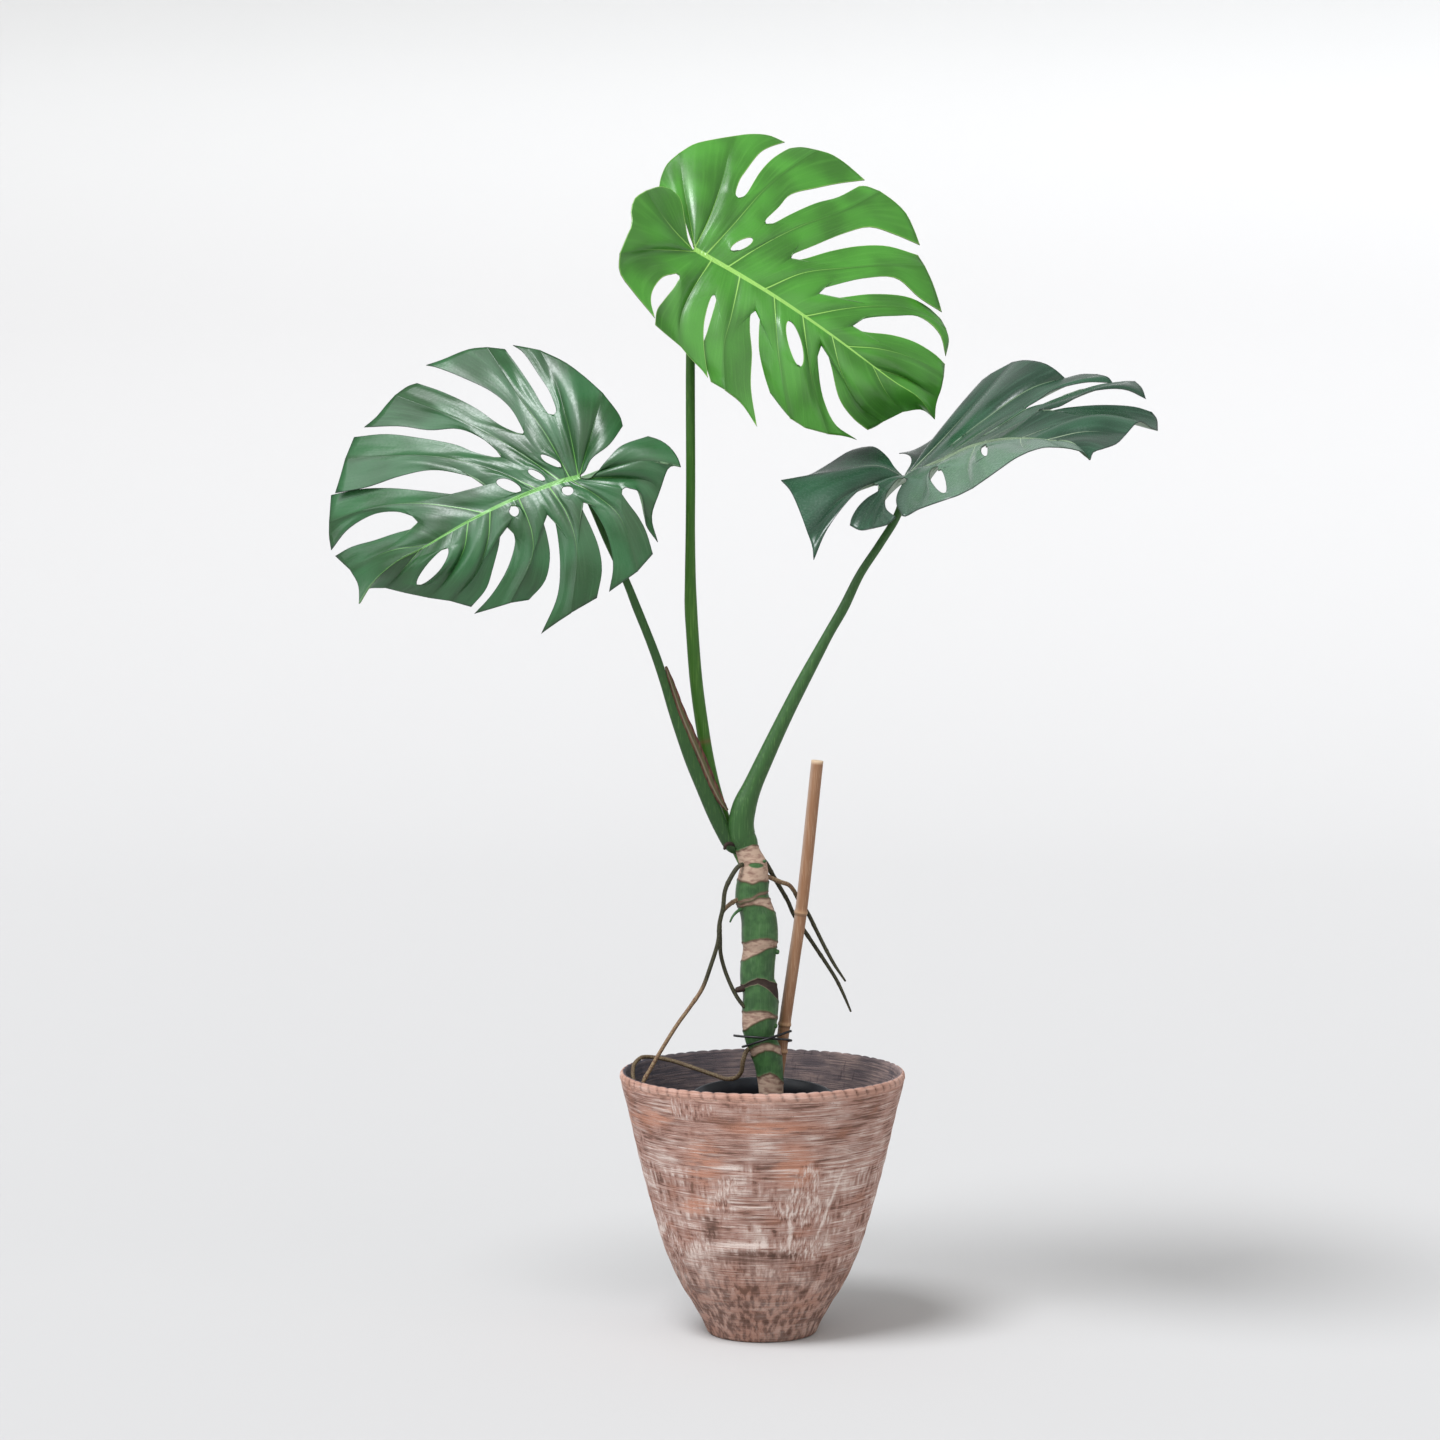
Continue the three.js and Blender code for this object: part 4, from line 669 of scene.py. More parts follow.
def leaf_mesh(leaf, thickness, vein_height):
    """The whole blade: both halves joined by the midrib band, swollen between its
    veins by swell * bulge * sin(pi * reach), with raised veins of a bell-shaped
    section, an underside the blade's thickness below and walls round every rim."""
    upper = leaf_half(leaf, leaf["upper_half"], leaf["upper_side"])
    lower = leaf_half(leaf, leaf["lower_half"], -leaf["upper_side"])
    shift = len(upper[0])
    points = np.vstack([upper[0], lower[0]])
    fields = np.vstack([np.column_stack([upper[1], np.zeros(len(upper[1]))]),
                        np.column_stack([lower[1], np.ones(len(lower[1]))])])
    quads = np.vstack([upper[2], lower[2] + shift])
    zipped = zip_band(upper[3], lower[3] + [shift, 0], leaf["upper_side"])
    triangles = np.vstack([quads[:, [0, 1, 2]], quads[:, [0, 2, 3]], zipped])
    # points in one place are merged, and triangles that this closes are dropped
    _, first, inverse = np.unique(np.round(points, 3), axis=0, return_index=True, return_inverse=True)
    points, fields, triangles = points[first], fields[first], inverse.ravel()[triangles]
    triangles = triangles[(triangles != np.roll(triangles, 1, 1)).all(1)]
    used, inverse = np.unique(triangles, return_inverse=True)
    points, fields, triangles = points[used], fields[used], inverse.reshape(-1, 3)
    crest, reach, from_vein = fields.T[:3]
    rise = leaf["swell"] * bulge(crest) * np.sin(np.pi * reach)
    points = points + point_normals(points, triangles) * rise[:, None]
    normals = point_normals(points, triangles)
    rib = bell(from_vein, VEIN_HALF_WIDTH) * np.clip(1.15 - reach, 0, 1)
    top = points + normals * (vein_height * rib)[:, None]
    bottom = points - normals * (thickness + VEIN_DEPTH_BELOW * rib)[:, None]
    edges = np.vstack([triangles[:, [0, 1]], triangles[:, [1, 2]], triangles[:, [2, 0]]])
    # a rim is an edge that no neighbour runs back along
    count = len(points)
    keys = edges[:, 0] * count + edges[:, 1]
    back = edges[:, 1] * count + edges[:, 0]
    rims = edges[~np.isin(keys, back)]
    walls = np.column_stack([rims[:, 1], rims[:, 0], rims[:, 0] + count, rims[:, 1] + count])
    faces = triangles.tolist() + (triangles[:, ::-1] + count).tolist() + walls.tolist()
    attributes = {name: np.tile(fields[:, k], 2) for k, name in enumerate(FIELD_NAMES)}
    attributes["under"] = np.repeat([0.0, 1.0], count)
    return np.vstack([top, bottom]), faces, attributes


# ------------------------------------------------------------ round bodies

def rings_about(centres, heading, radii, sides, flatness=1.0, reference=(0, 1, 0)):
    """Ring points: centre + radius (cos(angle) across + flatness sin(angle) upward),
    with across and upward square to the heading. radii is per ring or per point."""
    across = unit(np.cross(heading, np.asarray(reference, float)))
    upward = np.cross(across, heading)
    angle = even_turn(sides)
    radii = np.asarray(radii, float)
    if radii.ndim == 1:
        radii = radii[:, None]
    radii = np.broadcast_to(radii, (len(centres), sides))[..., None]
    return (centres[:, None] + radii * (np.cos(angle)[None, :, None] * across[:, None]
                                        + flatness * np.sin(angle)[None, :, None] * upward[:, None]))


def turned(radii, heights, angle):
    """Rings about the upright axis: radius cos(angle), radius sin(angle), height."""
    return np.stack([radii * np.cos(angle), radii * np.sin(angle), heights + 0 * angle], -1)


CAP_RINGS = 5


def sweep(stations, per_station, blunt=0.6):
    """A smooth line through stations [x, y, depth, half width] of the front view, with
    a few more rings at each end whose radius falls as a cosine, like a dome blunt radii
    deep. Also the share of the way along of each ring, and its front-view height."""
    stations = np.asarray(stations, float)
    places = np.column_stack([seen(stations[:, :2], stations[:, 2]), stations[:, 3]])
    steps = len(stations) - 1
    at = np.linspace(0, steps, steps * per_station + 1)
    line = spline_at(places, at)
    centres, radii = line[:, :3], line[:, 3]
    heading = unit(np.gradient(centres, axis=0))
    turn = np.linspace(0, np.pi / 2, CAP_RINGS + 1)[1:]
    head = centres[0] - heading[0] * (radii[0] * blunt * np.sin(turn))[::-1, None]
    tail = centres[-1] + heading[-1] * (radii[-1] * blunt * np.sin(turn))[:, None]
    closing = np.maximum(np.cos(turn), 0.02)
    along = np.concatenate([np.zeros(CAP_RINGS), at / steps, np.ones(CAP_RINGS)])
    return {"centres": np.vstack([head, centres, tail]),
            "radii": np.concatenate([closing[::-1] * radii[0], radii, closing * radii[-1]]),
            "heading": np.pad(heading, ((CAP_RINGS, CAP_RINGS), (0, 0)), "edge"),
            "along": along,
            "height": np.interp(along * steps, np.arange(steps + 1), stations[:, 1])}


# Centre lines of stem, stalks, sheath and roots: stations [x, y, depth, half width] of
# the front view. Those of the cane and the wire have no half width.
STEM = [[746, 847, 0, 11.6], [750, 857, 0, 12.8], [753.6, 866, -1, 14], [753, 881, -1, 16],
        [751.8, 898, -2, 16.4], [755.6, 907, -2, 16.8], [759, 920, -3, 17.8], [759.8, 940, -4, 18.2],
        [759.6, 949, -4, 17], [757.6, 966, -5, 17.2], [757.6, 982, -6, 17.2], [760.6, 992, -7, 17.8],
        [760, 1012, -8, 18], [759, 1027, -9, 17], [760, 1039, -10, 14.6], [766, 1052, -11, 15.4],
        [769, 1066, -12, 14], [770.4, 1080, -13, 13.2], [771.4, 1098, -14, 12.4], [773, 1150, -15, 11]]

STEM_STUBS = [
    [[738, 846, -3, 2.2], [729, 843.5, -7, 1.9], [725.5, 845.5, -9, 1.8], [724.5, 849, -9.5, 1.4]],
    [[757, 863, -5, 3], [765.5, 861, -9, 1.3]],
    [[748, 906, -6, 2.4], [738, 911, -14, 1.6], [733, 916, -19, 1.2], [730, 922, -19, 0.9]],
    [[748, 987, -12, 4], [737, 990, -17, 2.8]],
    [[768, 950, -6, 4], [778, 952, -9, 2.4]],
    [[766, 1024, -12, 5], [776, 1026, -14, 2.6]],
]
# the places in that list of the stubs whose skin has turned to cork
CORKY_STUBS = (0, 3)

# Leaf scars on the stem: front-view heights of their upper and lower edges at its left
# side, middle and right side, and how dark they are.
STEM_SCARS = [
    [[853, 847, 845], [880, 883, 881], 0.0],
    [[902, 897, 891], [904, 899, 893], 0.2],
    [[906, 900, 898], [908, 903.5, 912], 0.1],
    [[943.7, 938, 942], [962, 952, 946.5], 0.1],
    [[986, 977, 984], [989, 983, 1001], 1.0],
    [[1012.6, 1010, 1017], [1031.8, 1020, 1018], 0.0],
    [[1051, 1043, 1047], [1057.7, 1049.5, 1055.7], 0.1],
    [[1078, 1072, 1083], [1180, 1180, 1180], 0.15],
]
SCAR_LIP = 1.1
# The green slit in the first scar: its middle and half size, across and in height.
SCAR_SLIT = [[0.2, 865.5], [0.53, 2.6]]

PETIOLE_LEFT = [[581.4, 481.6, -14.8, 3.6], [592, 505, -17, 3.6], [607, 540, -21, 3.6],
                [626.5, 582, -22, 3.6], [636.7, 607.6, -20, 4.1], [647, 633, -18, 4.1],
                [656.5, 658, -15, 4.3], [665, 684, -12, 4.4], [673.5, 710, -9, 5.3],
                [683, 735, -7, 6.7], [693, 760.6, -5, 7.7], [703.5, 786, -4, 7.8],
                [714, 811, -3, 7.8], [722, 829, -2, 7.2], [731, 845, 0, 6.6], [739, 852, 2, 4]]

PETIOLE_TOP = [[693.4, 253.5, 36, 3.8], [691.5, 285, 32, 4], [690.4, 362, 24, 4.4],
               [690.6, 480, 16, 4.5], [690.3, 531, 14, 4.6], [690.3, 580, 13, 5.4],
               [690.8, 607, 13, 6.1], [692.3, 633, 13, 6.1], [696, 680, 13, 6.2],
               [701.5, 722, 13, 6.2], [708, 760, 13, 6], [716, 794, 13, 6], [726, 824, 12, 6],
               [737, 848, 9, 6], [746, 868, 4, 5]]

PETIOLE_RIGHT = [[905.3, 484, 22, 3.6], [903.5, 496, 22, 3.7], [897, 516, 20, 3.8],
                 [880, 544, 16, 3.9], [860, 574.4, 13, 4.1], [843.6, 607.6, 10, 4.9],
                 [829, 633, 8, 4.9], [816.5, 656, 7, 5.6], [801.5, 684, 5, 6.4],
                 [788.4, 709.6, 4, 6.8], [776, 735, 3, 7.4], [764, 760.6, 2, 8.2],
                 [752.4, 786, 1, 9.2], [744.4, 806, 0, 11.6], [741, 824, 0, 12.4],
                 [742.4, 836, 0, 12.6], [746, 843, 0, 11.4], [748, 850, 0, 10]]

DRY_HUSK = [[666, 667, -15, 1.4], [672, 684, -14, 2.9], [681, 710, -12, 3.9], [691.4, 735, -11, 4.6],
            [702.6, 760.6, -10, 4.8], [712, 783, -9, 4.4], [721, 801, -8, 3.4], [727, 810, -7, 1.6]]

ROOTS = {
    "root_left_long": [[744, 864, -8, 2.2], [738, 867, -13, 2.3], [730, 879, -17, 2.3],
                       [725, 891, -18, 2.2], [723, 908, -18, 2.2], [719.5, 924, -18.5, 2.2],
                       [718.4, 940, -19, 2.1], [710, 968, -20, 2.1], [702, 989, -21, 2.1],
                       [690, 1007, -22, 2], [677, 1025, -24, 2], [662, 1049, -27, 2],
                       [651, 1068, -30, 2], [642.8, 1084, -33, 1.9], [642, 1104, -35, 1.8],
                       [646, 1128, -37, 1.6], [652, 1150, -38, 1.2]],
    "root_left_loop": [[742, 898, -8, 2.2], [735, 901, -9, 2.3], [729, 905, -10, 2.2],
                       [722.6, 912, -11, 2], [720, 922, -11.5, 2], [720.2, 940, -12, 2],
                       [720.6, 953, -12, 2], [724.2, 968, -12, 2], [730.6, 984.6, -13, 2],
                       [737, 997, -15, 2], [744, 1007, -16, 1.8]],
    "root_in_pot": [[754, 1045, -13, 2.2], [746.7, 1051, -15, 2.3], [743, 1061, -16, 2.3],
                    [741.5, 1071, -14, 2.2], [737, 1077, -10, 2.2], [727, 1079, -4, 2.2],
                    [714, 1075, 2, 2.2], [692.4, 1067.5, 10, 2.1], [671, 1060.5, 16, 2.1],
                    [648, 1056.8, 14, 2], [640.6, 1058, 8, 2], [635, 1063, 3, 2],
                    [632.8, 1070, -4, 2], [634, 1082, -14, 1.9], [640, 1100, -22, 1.6],
                    [645, 1120, -28, 1.2]],
    "root_right_upper": [[764, 875, 2, 2.2], [771, 878, 5, 2.3], [780.6, 882, 9, 2.3],
                         [789, 885, 13, 2.2], [794.4, 891.6, 15.6, 2.1], [797.6, 898, 17, 2.1],
                         [807.4, 912.5, 18, 2.1], [815.7, 929, 18, 2], [825, 947.6, 18, 1.9],
                         [834.2, 964.3, 18, 1.7], [845.3, 981, 18, 1]],
    "root_right_lower": [[760, 856, 6, 2.2], [766, 863, 11, 2.3], [773, 875.5, 15, 2.3],
                         [780.6, 888.4, 18.6, 2.2], [788, 901.4, 20.6, 2.1], [793.5, 914, 22, 2.1],
                         [804.6, 931, 23, 2.1], [815.7, 947.6, 23, 2], [826.8, 964.3, 23, 1.9],
                         [836, 979, 23, 1.8], [843.4, 994, 23, 1.6], [850.8, 1011.4, 23, 1]],
}

# Front-view heights that a root's tan stretch lies between, and how tan it is.
ROOT_TAN = {"root_left_long": [985, 1200, 1.0], "root_left_loop": [880, 930, 0.8],
            "root_in_pot": [1040, 1200, 0.5], "root_right_upper": [870, 893, 0.9]}
NOT_TAN = [0, 0, 0.0]
ROOT_SLOTS = {"root_in_pot": "brown_root", "root_right_upper": "brown_root"}

CANE_PATH = [[817.4, 760.6, 2], [801, 912, 5], [794, 960, 6.5], [784.6, 1024, 8.5], [781, 1051, 9],
             [776, 1090, 10.5], [771, 1150, 10.5]]
CANE_RADIUS = 6
# front-view heights of the cane's nodes
CANE_NODES = [912, 1024, 1051]

TIE = [[734, 1035.5, -21], [743, 1036.5, -22.5], [751, 1037, -26], [760, 1037.6, -27],
       [769, 1038.4, -24.6], [777, 1039, -18], [786, 1039.6, -5], [791.2, 1040.4, 6],
       [788, 1041, 14.6], [781, 1041.4, 16.4], [770, 1042.4, 13], [756, 1044, 7.4],
       [747, 1045.6, 2], [743, 1046.6, -6], [743.6, 1046.6, -15], [749, 1045, -24.4],
       [758, 1042, -30], [770, 1038, -29], [782, 1034, -20], [791, 1031, -14]]
TIE_RADIUS = 1.2

# Outer wall and foot of the outer pot as [height, radius] in millimetres.
WALL_PROFILE = [[0, 54], [14, 60.5], [33, 71.2], [51, 82.3], [86, 97.6], [120, 108], [155, 117.5],
                [181, 124], [218, 132.3], [237, 136.8]]
FOOT_PROFILE = [[0, 1], [0, 30], [0, 51.5], [0.5, 53.4]]
RIM_RADIUS, POT_HEIGHT, POT_WALL, POT_FLOOR = 142.5, 265, 6.5, 9
# how far in the slanting wall reaches, level across
WALL_ACROSS = POT_WALL * 1.08
# the rim band's height, and its crimps from a thumb all round it
RIM_BAND, CRIMPS = 9, 66
SIDES_PER_CRIMP = 8
# The rim band's rings: [height over its foot, radius, share of the pinch, of the dip].
RIM_PROFILE = [[-8, 139.9, 0, 0], [-3, 140.9, 0, 0], [-0.6, 141, 0.2, 0], [0.2, 141.6, 0.7, 0],
               [1.4, 142.3, 1, 0.1], [3, 142.5, 1, 0.2], [4.6, 142.4, 1, 0.45], [6, 142, 1, 0.7],
               [7.2, 141.2, 0.9, 0.9], [8, 140.4, 0.7, 1], [8.5, 139, 0.5, 1], [8, 137.2, 0.4, 0.9],
               [5.6, 136, 0.4, 0.3]]

# The grow pot's outer radii at rim and foot, its height and its wall. It stands tilted.
GROW_RIM, GROW_FOOT, GROW_HEIGHT, GROW_WALL = 70, 50, 229, 1.4
GROW_TILT = math.radians(6)
GROW_BASE = np.array([0, 0.5, 14.6])
SOIL_FOOT, SOIL_TOP = 5, GROW_HEIGHT - 22


def grow_radius(z):
    """Outer radius of the tapered cup at a height."""
    return GROW_FOOT + (GROW_RIM - GROW_FOOT) * z / GROW_HEIGHT


def tilted_in(points):
    """Turns points about X by the cup's tilt and sets them on its foot."""
    cos, sin = math.cos(GROW_TILT), math.sin(GROW_TILT)
    x, y, z = np.moveaxis(points, -1, 0)
    return np.stack([x, y * cos - z * sin, y * sin + z * cos], -1) + GROW_BASE


def stalk_object(name, stations, joints):
    """A leaf stalk: rings whose radius is the station's times 1 + 0.035 cos(2 angle)
    + 0.02 cos(5 angle), browned at its joints by a bell curve of the height."""
    sides = 40
    body = sweep(stations, 12)
    angle = even_turn(sides)[None]
    flute = 1 + 0.035 * np.cos(2 * angle) + 0.02 * np.cos(5 * angle + 1)
    rings = rings_about(body["centres"], body["heading"], body["radii"][:, None] * flute, sides)
    brown = sum((0.6 * bell(body["height"] - height, 2.4) for height in joints), 0 * body["along"])
    return tube_object(name, rings, {"along": body["along"][:, None], "brown": brown[:, None]})


def sheath_object():
    """The dry sheath: flat rings crinkled by sines of angle and place, with a pale
    fold line along the middle of both faces."""
    sides = 48
    body = sweep(DRY_HUSK, 14)
    angle = even_turn(sides)[None]
    along = body["along"][:, None]
    crinkle = 0.94 + 0.05 * np.sin(9 * angle + 20 * along) + 0.05 * np.sin(69 * along + 2 * angle)
    rings = rings_about(body["centres"], body["heading"], body["radii"][:, None] * crinkle, sides, 0.3)
    return tube_object("dry_sheath", rings, {"fold": bell(np.cos(angle) + 0.25, 0.14),
                                             "hem": np.abs(np.cos(angle))})


def stem_object():
    """The stem: a round body whose radius swells by bell curves at the lips of each
    leaf scar and sinks within it. A scar's edges wobble by sines of the angle."""
    sides = 112
    body = sweep(STEM, 26, 0.3)
    angle = even_turn(sides)[None]
    rings = rings_about(body["centres"], body["heading"], body["radii"], sides)
    side = (rings - body["centres"][:, None])[..., 0] / np.maximum(body["radii"], 1e-3)[:, None]
    height = front_view(rings)[..., 1]
    scar, lip, dark, relief = (np.zeros(height.shape) for _ in range(4))
    wobble = 0.8 * np.sin(3 * angle + 1) + 0.5 * np.sin(7 * angle)
    for upper, lower, darkness in STEM_SCARS:
        top = np.interp(side, [-1, 0, 1], upper) + wobble
        low = np.interp(side, [-1, 0, 1], lower) + wobble
        inside = between(height, top, low, 0.8)
        edges = bell(height - top, SCAR_LIP) + bell(height - low, SCAR_LIP)
        scar = np.maximum(scar, inside)
        lip = np.maximum(lip, edges * (1 - darkness))
        dark = np.maximum(dark, inside * darkness)
        relief += 0.5 * edges - 0.4 * inside
    (mid_side, mid_height), (half_side, half_height) = SCAR_SLIT
    slit_share = np.hypot((side - mid_side) / half_side, (height - mid_height) / half_height)
    front = rings[..., 1] < body["centres"][:, None, 1]
    green = np.where(front, soft_step(slit_share, 1.15, 0.85), 0)
    relief = np.clip(relief - 0.5 * green, -0.9, 0.8)
    rings = rings_about(body["centres"], body["heading"], body["radii"][:, None] + relief, sides)
    return tube_object("stem_trunk", rings, {"scar": scar * (1 - green), "dark": dark,
                                             "lip": np.clip(lip, 0, 1)})


# Marks on the outer pot's front, in front-view units: middle, half size and lean.
RUBBED_MARKS = [[[704, 1163], [19, 24], 0.1], [[795, 1166], [22, 22], 0], [[650, 1118], [26, 9], 0.2],
                [[698, 1206], [17, 10], 0], [[770, 1128], [50, 8], 0]]
# The first stained mark is a stain; the second lies under the smeared lip and is a painted shadow.
STAIN_AND_SHADOW_MARKS = [[[710, 1228], [8, 16], 0.1], [[758, 1258], [46, 7], 0]]
CHALKED_MARKS = [[[826, 1213], [1.4, 44], -0.4], [[790, 1230], [3, 17], 0], [[728, 1168], [18, 2.2], 0],
                 [[806, 1171], [30, 1.8], 0], [[748, 1208], [34, 1.8], 0], [[742, 1245], [26, 2], 0],
                 [[655, 1240], [5, 22], -0.6]]
# The lip of clay smeared across the pot's front: its middle and half size.
SMEARED_LIP = [[760, 1250], [42, 4]]


def marked(x, y, front, marks):
    """How much each point lies in the marks: exp(-d^4), with d its distance from the
    mark's middle in half sizes, across a line that leans by lean units per unit of y."""
    share = np.zeros(x.shape)
    for (mid_x, mid_y), (half_x, half_y), lean in marks:
        across = (x - mid_x - lean * (y - mid_y)) / half_x
        share = np.maximum(share, np.exp(-(across ** 2 + ((y - mid_y) / half_y) ** 2) ** 2))
    return share * front


def pinched_rim(angle, hand):
    """The rim band, whose rings are those of its profile. Each crimp is a shell: it is
    pinched in and its top dips by 1 - sin(pi * share across)^0.45, as deep as the
    potter's thumb went, and it leans. Gives heights, radii and the pinch itself."""
    height, radius, pinched, dipped = np.transpose(RIM_PROFILE)[..., None]
    rng = np.random.default_rng(11)
    lean, depth, dip = rng.uniform([[-0.13], [0.7], [0.3]], [[0.13], [1.15], [1.0]], (3, CRIMPS))
    turn = CRIMPS * angle / (2 * np.pi) + 0.25 * height / RIM_BAND
    which = np.floor(turn).astype(int) % CRIMPS
    across = turn % 1
    across = np.clip(across + lean[which] * np.sin(np.pi * across), 0, 1)
    gap = 1 - np.sin(np.pi * across) ** 0.45
    z = POT_HEIGHT - RIM_BAND + height - 1.9 * dip[which] * dipped * gap
    r = radius + 0.7 * hand - 2.1 * depth[which] * pinched * gap
    return z, np.minimum(r, RIM_RADIUS), pinched * gap


def outer_pot_object():
    """The bell-shaped pot turned round its axis: radius(z, angle) follows the wall's
    profile, the hand's slow sines and the turning's quick one. Inside, the profile is
    followed again a wall's thickness in. The smeared lip stands out by a bell curve of
    the front-view height over a furrow of the same form."""
    profile = smooth_path(WALL_PROFILE)(np.linspace(0, 1, 112))
    angle = even_turn(CRIMPS * SIDES_PER_CRIMP)[None]
    level = 0 * angle
    hand = 0.35 * np.sin(2 * angle + 0.6) + 0.25 * np.sin(3 * angle + 2) + 0.15 * np.sin(7 * angle)
    foot = np.array(FOOT_PROFILE)
    wall = profile[profile[:, 0] > foot[-1, 0] + 1]
    wall_z = wall[:, :1] + level
    wall_r = wall[:, 1:] + hand * np.clip(wall_z / 80, 0, 1) + 0.18 * np.sin(wall_z / 3.1 + 2 * hand)
    band_z, band_r, pinch = pinched_rim(angle, hand)
    inner = profile[profile[:, 0] > POT_FLOOR + 4][::-4]
    inner_z = inner[:, :1] + level
    inner_r = inner[:, 1:] - WALL_ACROSS + hand * np.clip(inner_z / 80, 0, 1)
    floor_edge = profile[profile[:, 0] > POT_FLOOR][0, 1] - WALL_ACROSS
    floor_r = np.linspace(floor_edge, 1, 8)[:, None] + level
    z = np.vstack([foot[:, :1] + level, wall_z, band_z, inner_z, 0 * floor_r + POT_FLOOR])
    r = np.vstack([foot[:, 1:] + level, wall_r, band_r, inner_r, floor_r])
    first = len(foot) + len(wall)
    last = first + len(band_z)
    x, y = np.moveaxis(front_view(turned(r, z, angle)), -1, 0)
    outside = (np.arange(len(r)) < first)[:, None] * soft_step(np.sin(angle), 0.1, -0.2)
    (lip_x, lip_y), (half_x, half_y) = SMEARED_LIP
    smear = bell(y - lip_y, half_y) - 0.8 * bell(y - lip_y - 7, half_y)
    r = r + 0.9 * smear * np.exp(-((x - lip_x) / half_x) ** 4) * outside
    # gap marks the dips between the crimps, where the material paints shade
    gap, rim = np.zeros(z.shape), np.zeros((len(z), 1))
    gap[first:last] = pinch
    rim[first + 2:last - 2] = 1
    inside = (np.arange(len(z)) >= last - 3)[:, None]
    return tube_object("terracotta_pot", turned(r, z, angle), {
        "inside": inside, "gap": gap, "rim": rim, "rubbed": marked(x, y, outside, RUBBED_MARKS),
        "stained": marked(x, y, outside, STAIN_AND_SHADOW_MARKS),
        "chalked": marked(x, y, outside, CHALKED_MARKS)})


def cane_object(radius):
    """The cane: a round body, all but straight, that swells at its nodes by bell
    curves, each with a groove below it, and with a flat rough-sawn top."""
    body = sweep([[*place, radius] for place in CANE_PATH], 40, 0.06)
    swell = sum(bell(body["height"] - height, 2.2) for height in CANE_NODES)
    groove = sum(bell(body["height"] - height - 2, 1.0) for height in CANE_NODES)
    radii = body["radii"] + (0.9 * swell - 0.35 * groove) * (body["radii"] > radius - 1)
    rings = rings_about(body["centres"], body["heading"], radii, 48)
    # the left side, where the light falls, is painted paler: a painted highlight
    weathered = soft_step(-(rings - body["centres"][:, None])[..., 0] / radius, 0.35, 1.0)
    return tube_object("bamboo_cane", rings, {
        "node": np.clip(swell, 0, 1)[:, None], "groove": np.clip(groove, 0, 1)[:, None],
        "cut": (np.arange(len(radii)) <= CAP_RINGS)[:, None], "weathered": weathered})


def root_object(name, stations, tan_stretch, rng):
    """An aerial root: a thin tube knotted by bell curves at five seeded places, and tan
    where its front-view height lies in the given stretch."""
    body = sweep(stations, 14)
    knots = rng.uniform(0.1, 0.95, 5)
    swell = sum(bell(body["along"] - knot, 0.008) for knot in knots)
    rings = rings_about(body["centres"], body["heading"], body["radii"] * (1 + 0.12 * swell), 24)
    low, high, share = tan_stretch
    tan = share * between(body["height"], low, high, 14)
    return tube_object("aerial_" + name, rings, {"tan": tan[:, None]})


def cup_rim_object():
    """The moulded rim and inner wall that lie on the cup: a closed [radius, height]
    profile turned about its axis, then tilted with the cup."""
    top, inner = grow_radius(GROW_HEIGHT), grow_radius(SOIL_TOP - 4) - GROW_WALL
    sides = 192
    profile = np.array([[grow_radius(GROW_HEIGHT - 9) + 0.25, GROW_HEIGHT - 9],
                        [top + 1.2, GROW_HEIGHT - 8.4], [top + 1.8, GROW_HEIGHT - 7.6],
                        [top + 2, GROW_HEIGHT - 1.2],
                        [top + 1.3, GROW_HEIGHT + 0.2], [top - 0.6, GROW_HEIGHT + 0.3],
                        [top - GROW_WALL - 0.7, GROW_HEIGHT - 0.5], [inner - 0.7, SOIL_TOP - 4],
                        [inner + 0.4, SOIL_TOP - 4.4]])
    rings = turned(profile[:, :1], profile[:, 1:], even_turn(sides))
    here = np.arange(len(profile) * sides).reshape(-1, sides)
    beyond = np.roll(here, -1, 0)
    faces = np.stack([here, np.roll(here, -1, 1), np.roll(beyond, -1, 1), beyond], -1)
    obj = new_object("grow_pot_rim", tilted_in(rings).reshape(-1, 3), faces.reshape(-1, 4).tolist())
    face_outward(obj)
    return obj


def potting_mix_object():
    """The potting mix: a plug that fills the cup, whose top is its level plus sines of
    x and y: slow ones for the lumps and quick crossed ones for the crumbs."""
    clear = GROW_WALL + 0.6
    angle = even_turn(128)
    outer = grow_radius(SOIL_TOP) - clear
    radius = np.array([grow_radius(SOIL_FOOT) - clear, outer - 0.8, *np.linspace(outer - 1, 0.4, 60)])
    radius = radius[:, None]
    x, y = radius * np.cos(angle), radius * np.sin(angle)
    lumps = 2.2 * (np.sin(x / 7 + 1.3) * np.cos(y / 6) + 0.6 * np.sin((x - 2 * y) / 9))
    crumbs = 0.9 * np.sin(x * 1.3 + 2 * np.sin(y * 0.9)) * np.cos(y * 1.1 + 1.5 * np.sin(x * 0.7))
    z = SOIL_TOP + lumps + crumbs
    z[:2] = [[SOIL_FOOT], [SOIL_TOP - 3]]
    return tube_object("potting_mix", tilted_in(np.stack([x, y, z], -1)))


# The studio floor, in millimetres: it is flat as far as the first, then bends up by an
# ellipse with the next two as its half sizes, and its wall ends as high as the last.
FLAT_REACH, BEND_REACH, BEND_HEIGHT, WALL_HEIGHT = 4000, 3800, 1900, 2500


def studio_floor_object():
    """The seamless floor: a bowl, its profile turned about the upright axis."""
    sides = 128
    bend = np.linspace(0, np.pi / 2, 32)[1:]
    profile = np.vstack([
        [[50, 0], [FLAT_REACH / 2, 0], [FLAT_REACH, 0]],
        np.column_stack([FLAT_REACH + BEND_REACH * np.sin(bend), BEND_HEIGHT * (1 - np.cos(bend))]),
        [[FLAT_REACH + BEND_REACH, WALL_HEIGHT]]])
    points = turned(profile[:, :1], profile[:, 1:], even_turn(sides))
    faces = grid_faces(len(profile), sides, True)[:, ::-1].tolist() + [list(range(sides))]
    return new_object("studio_floor", points.reshape(-1, 3), faces)


# ----------------------------------------------------------------- materials

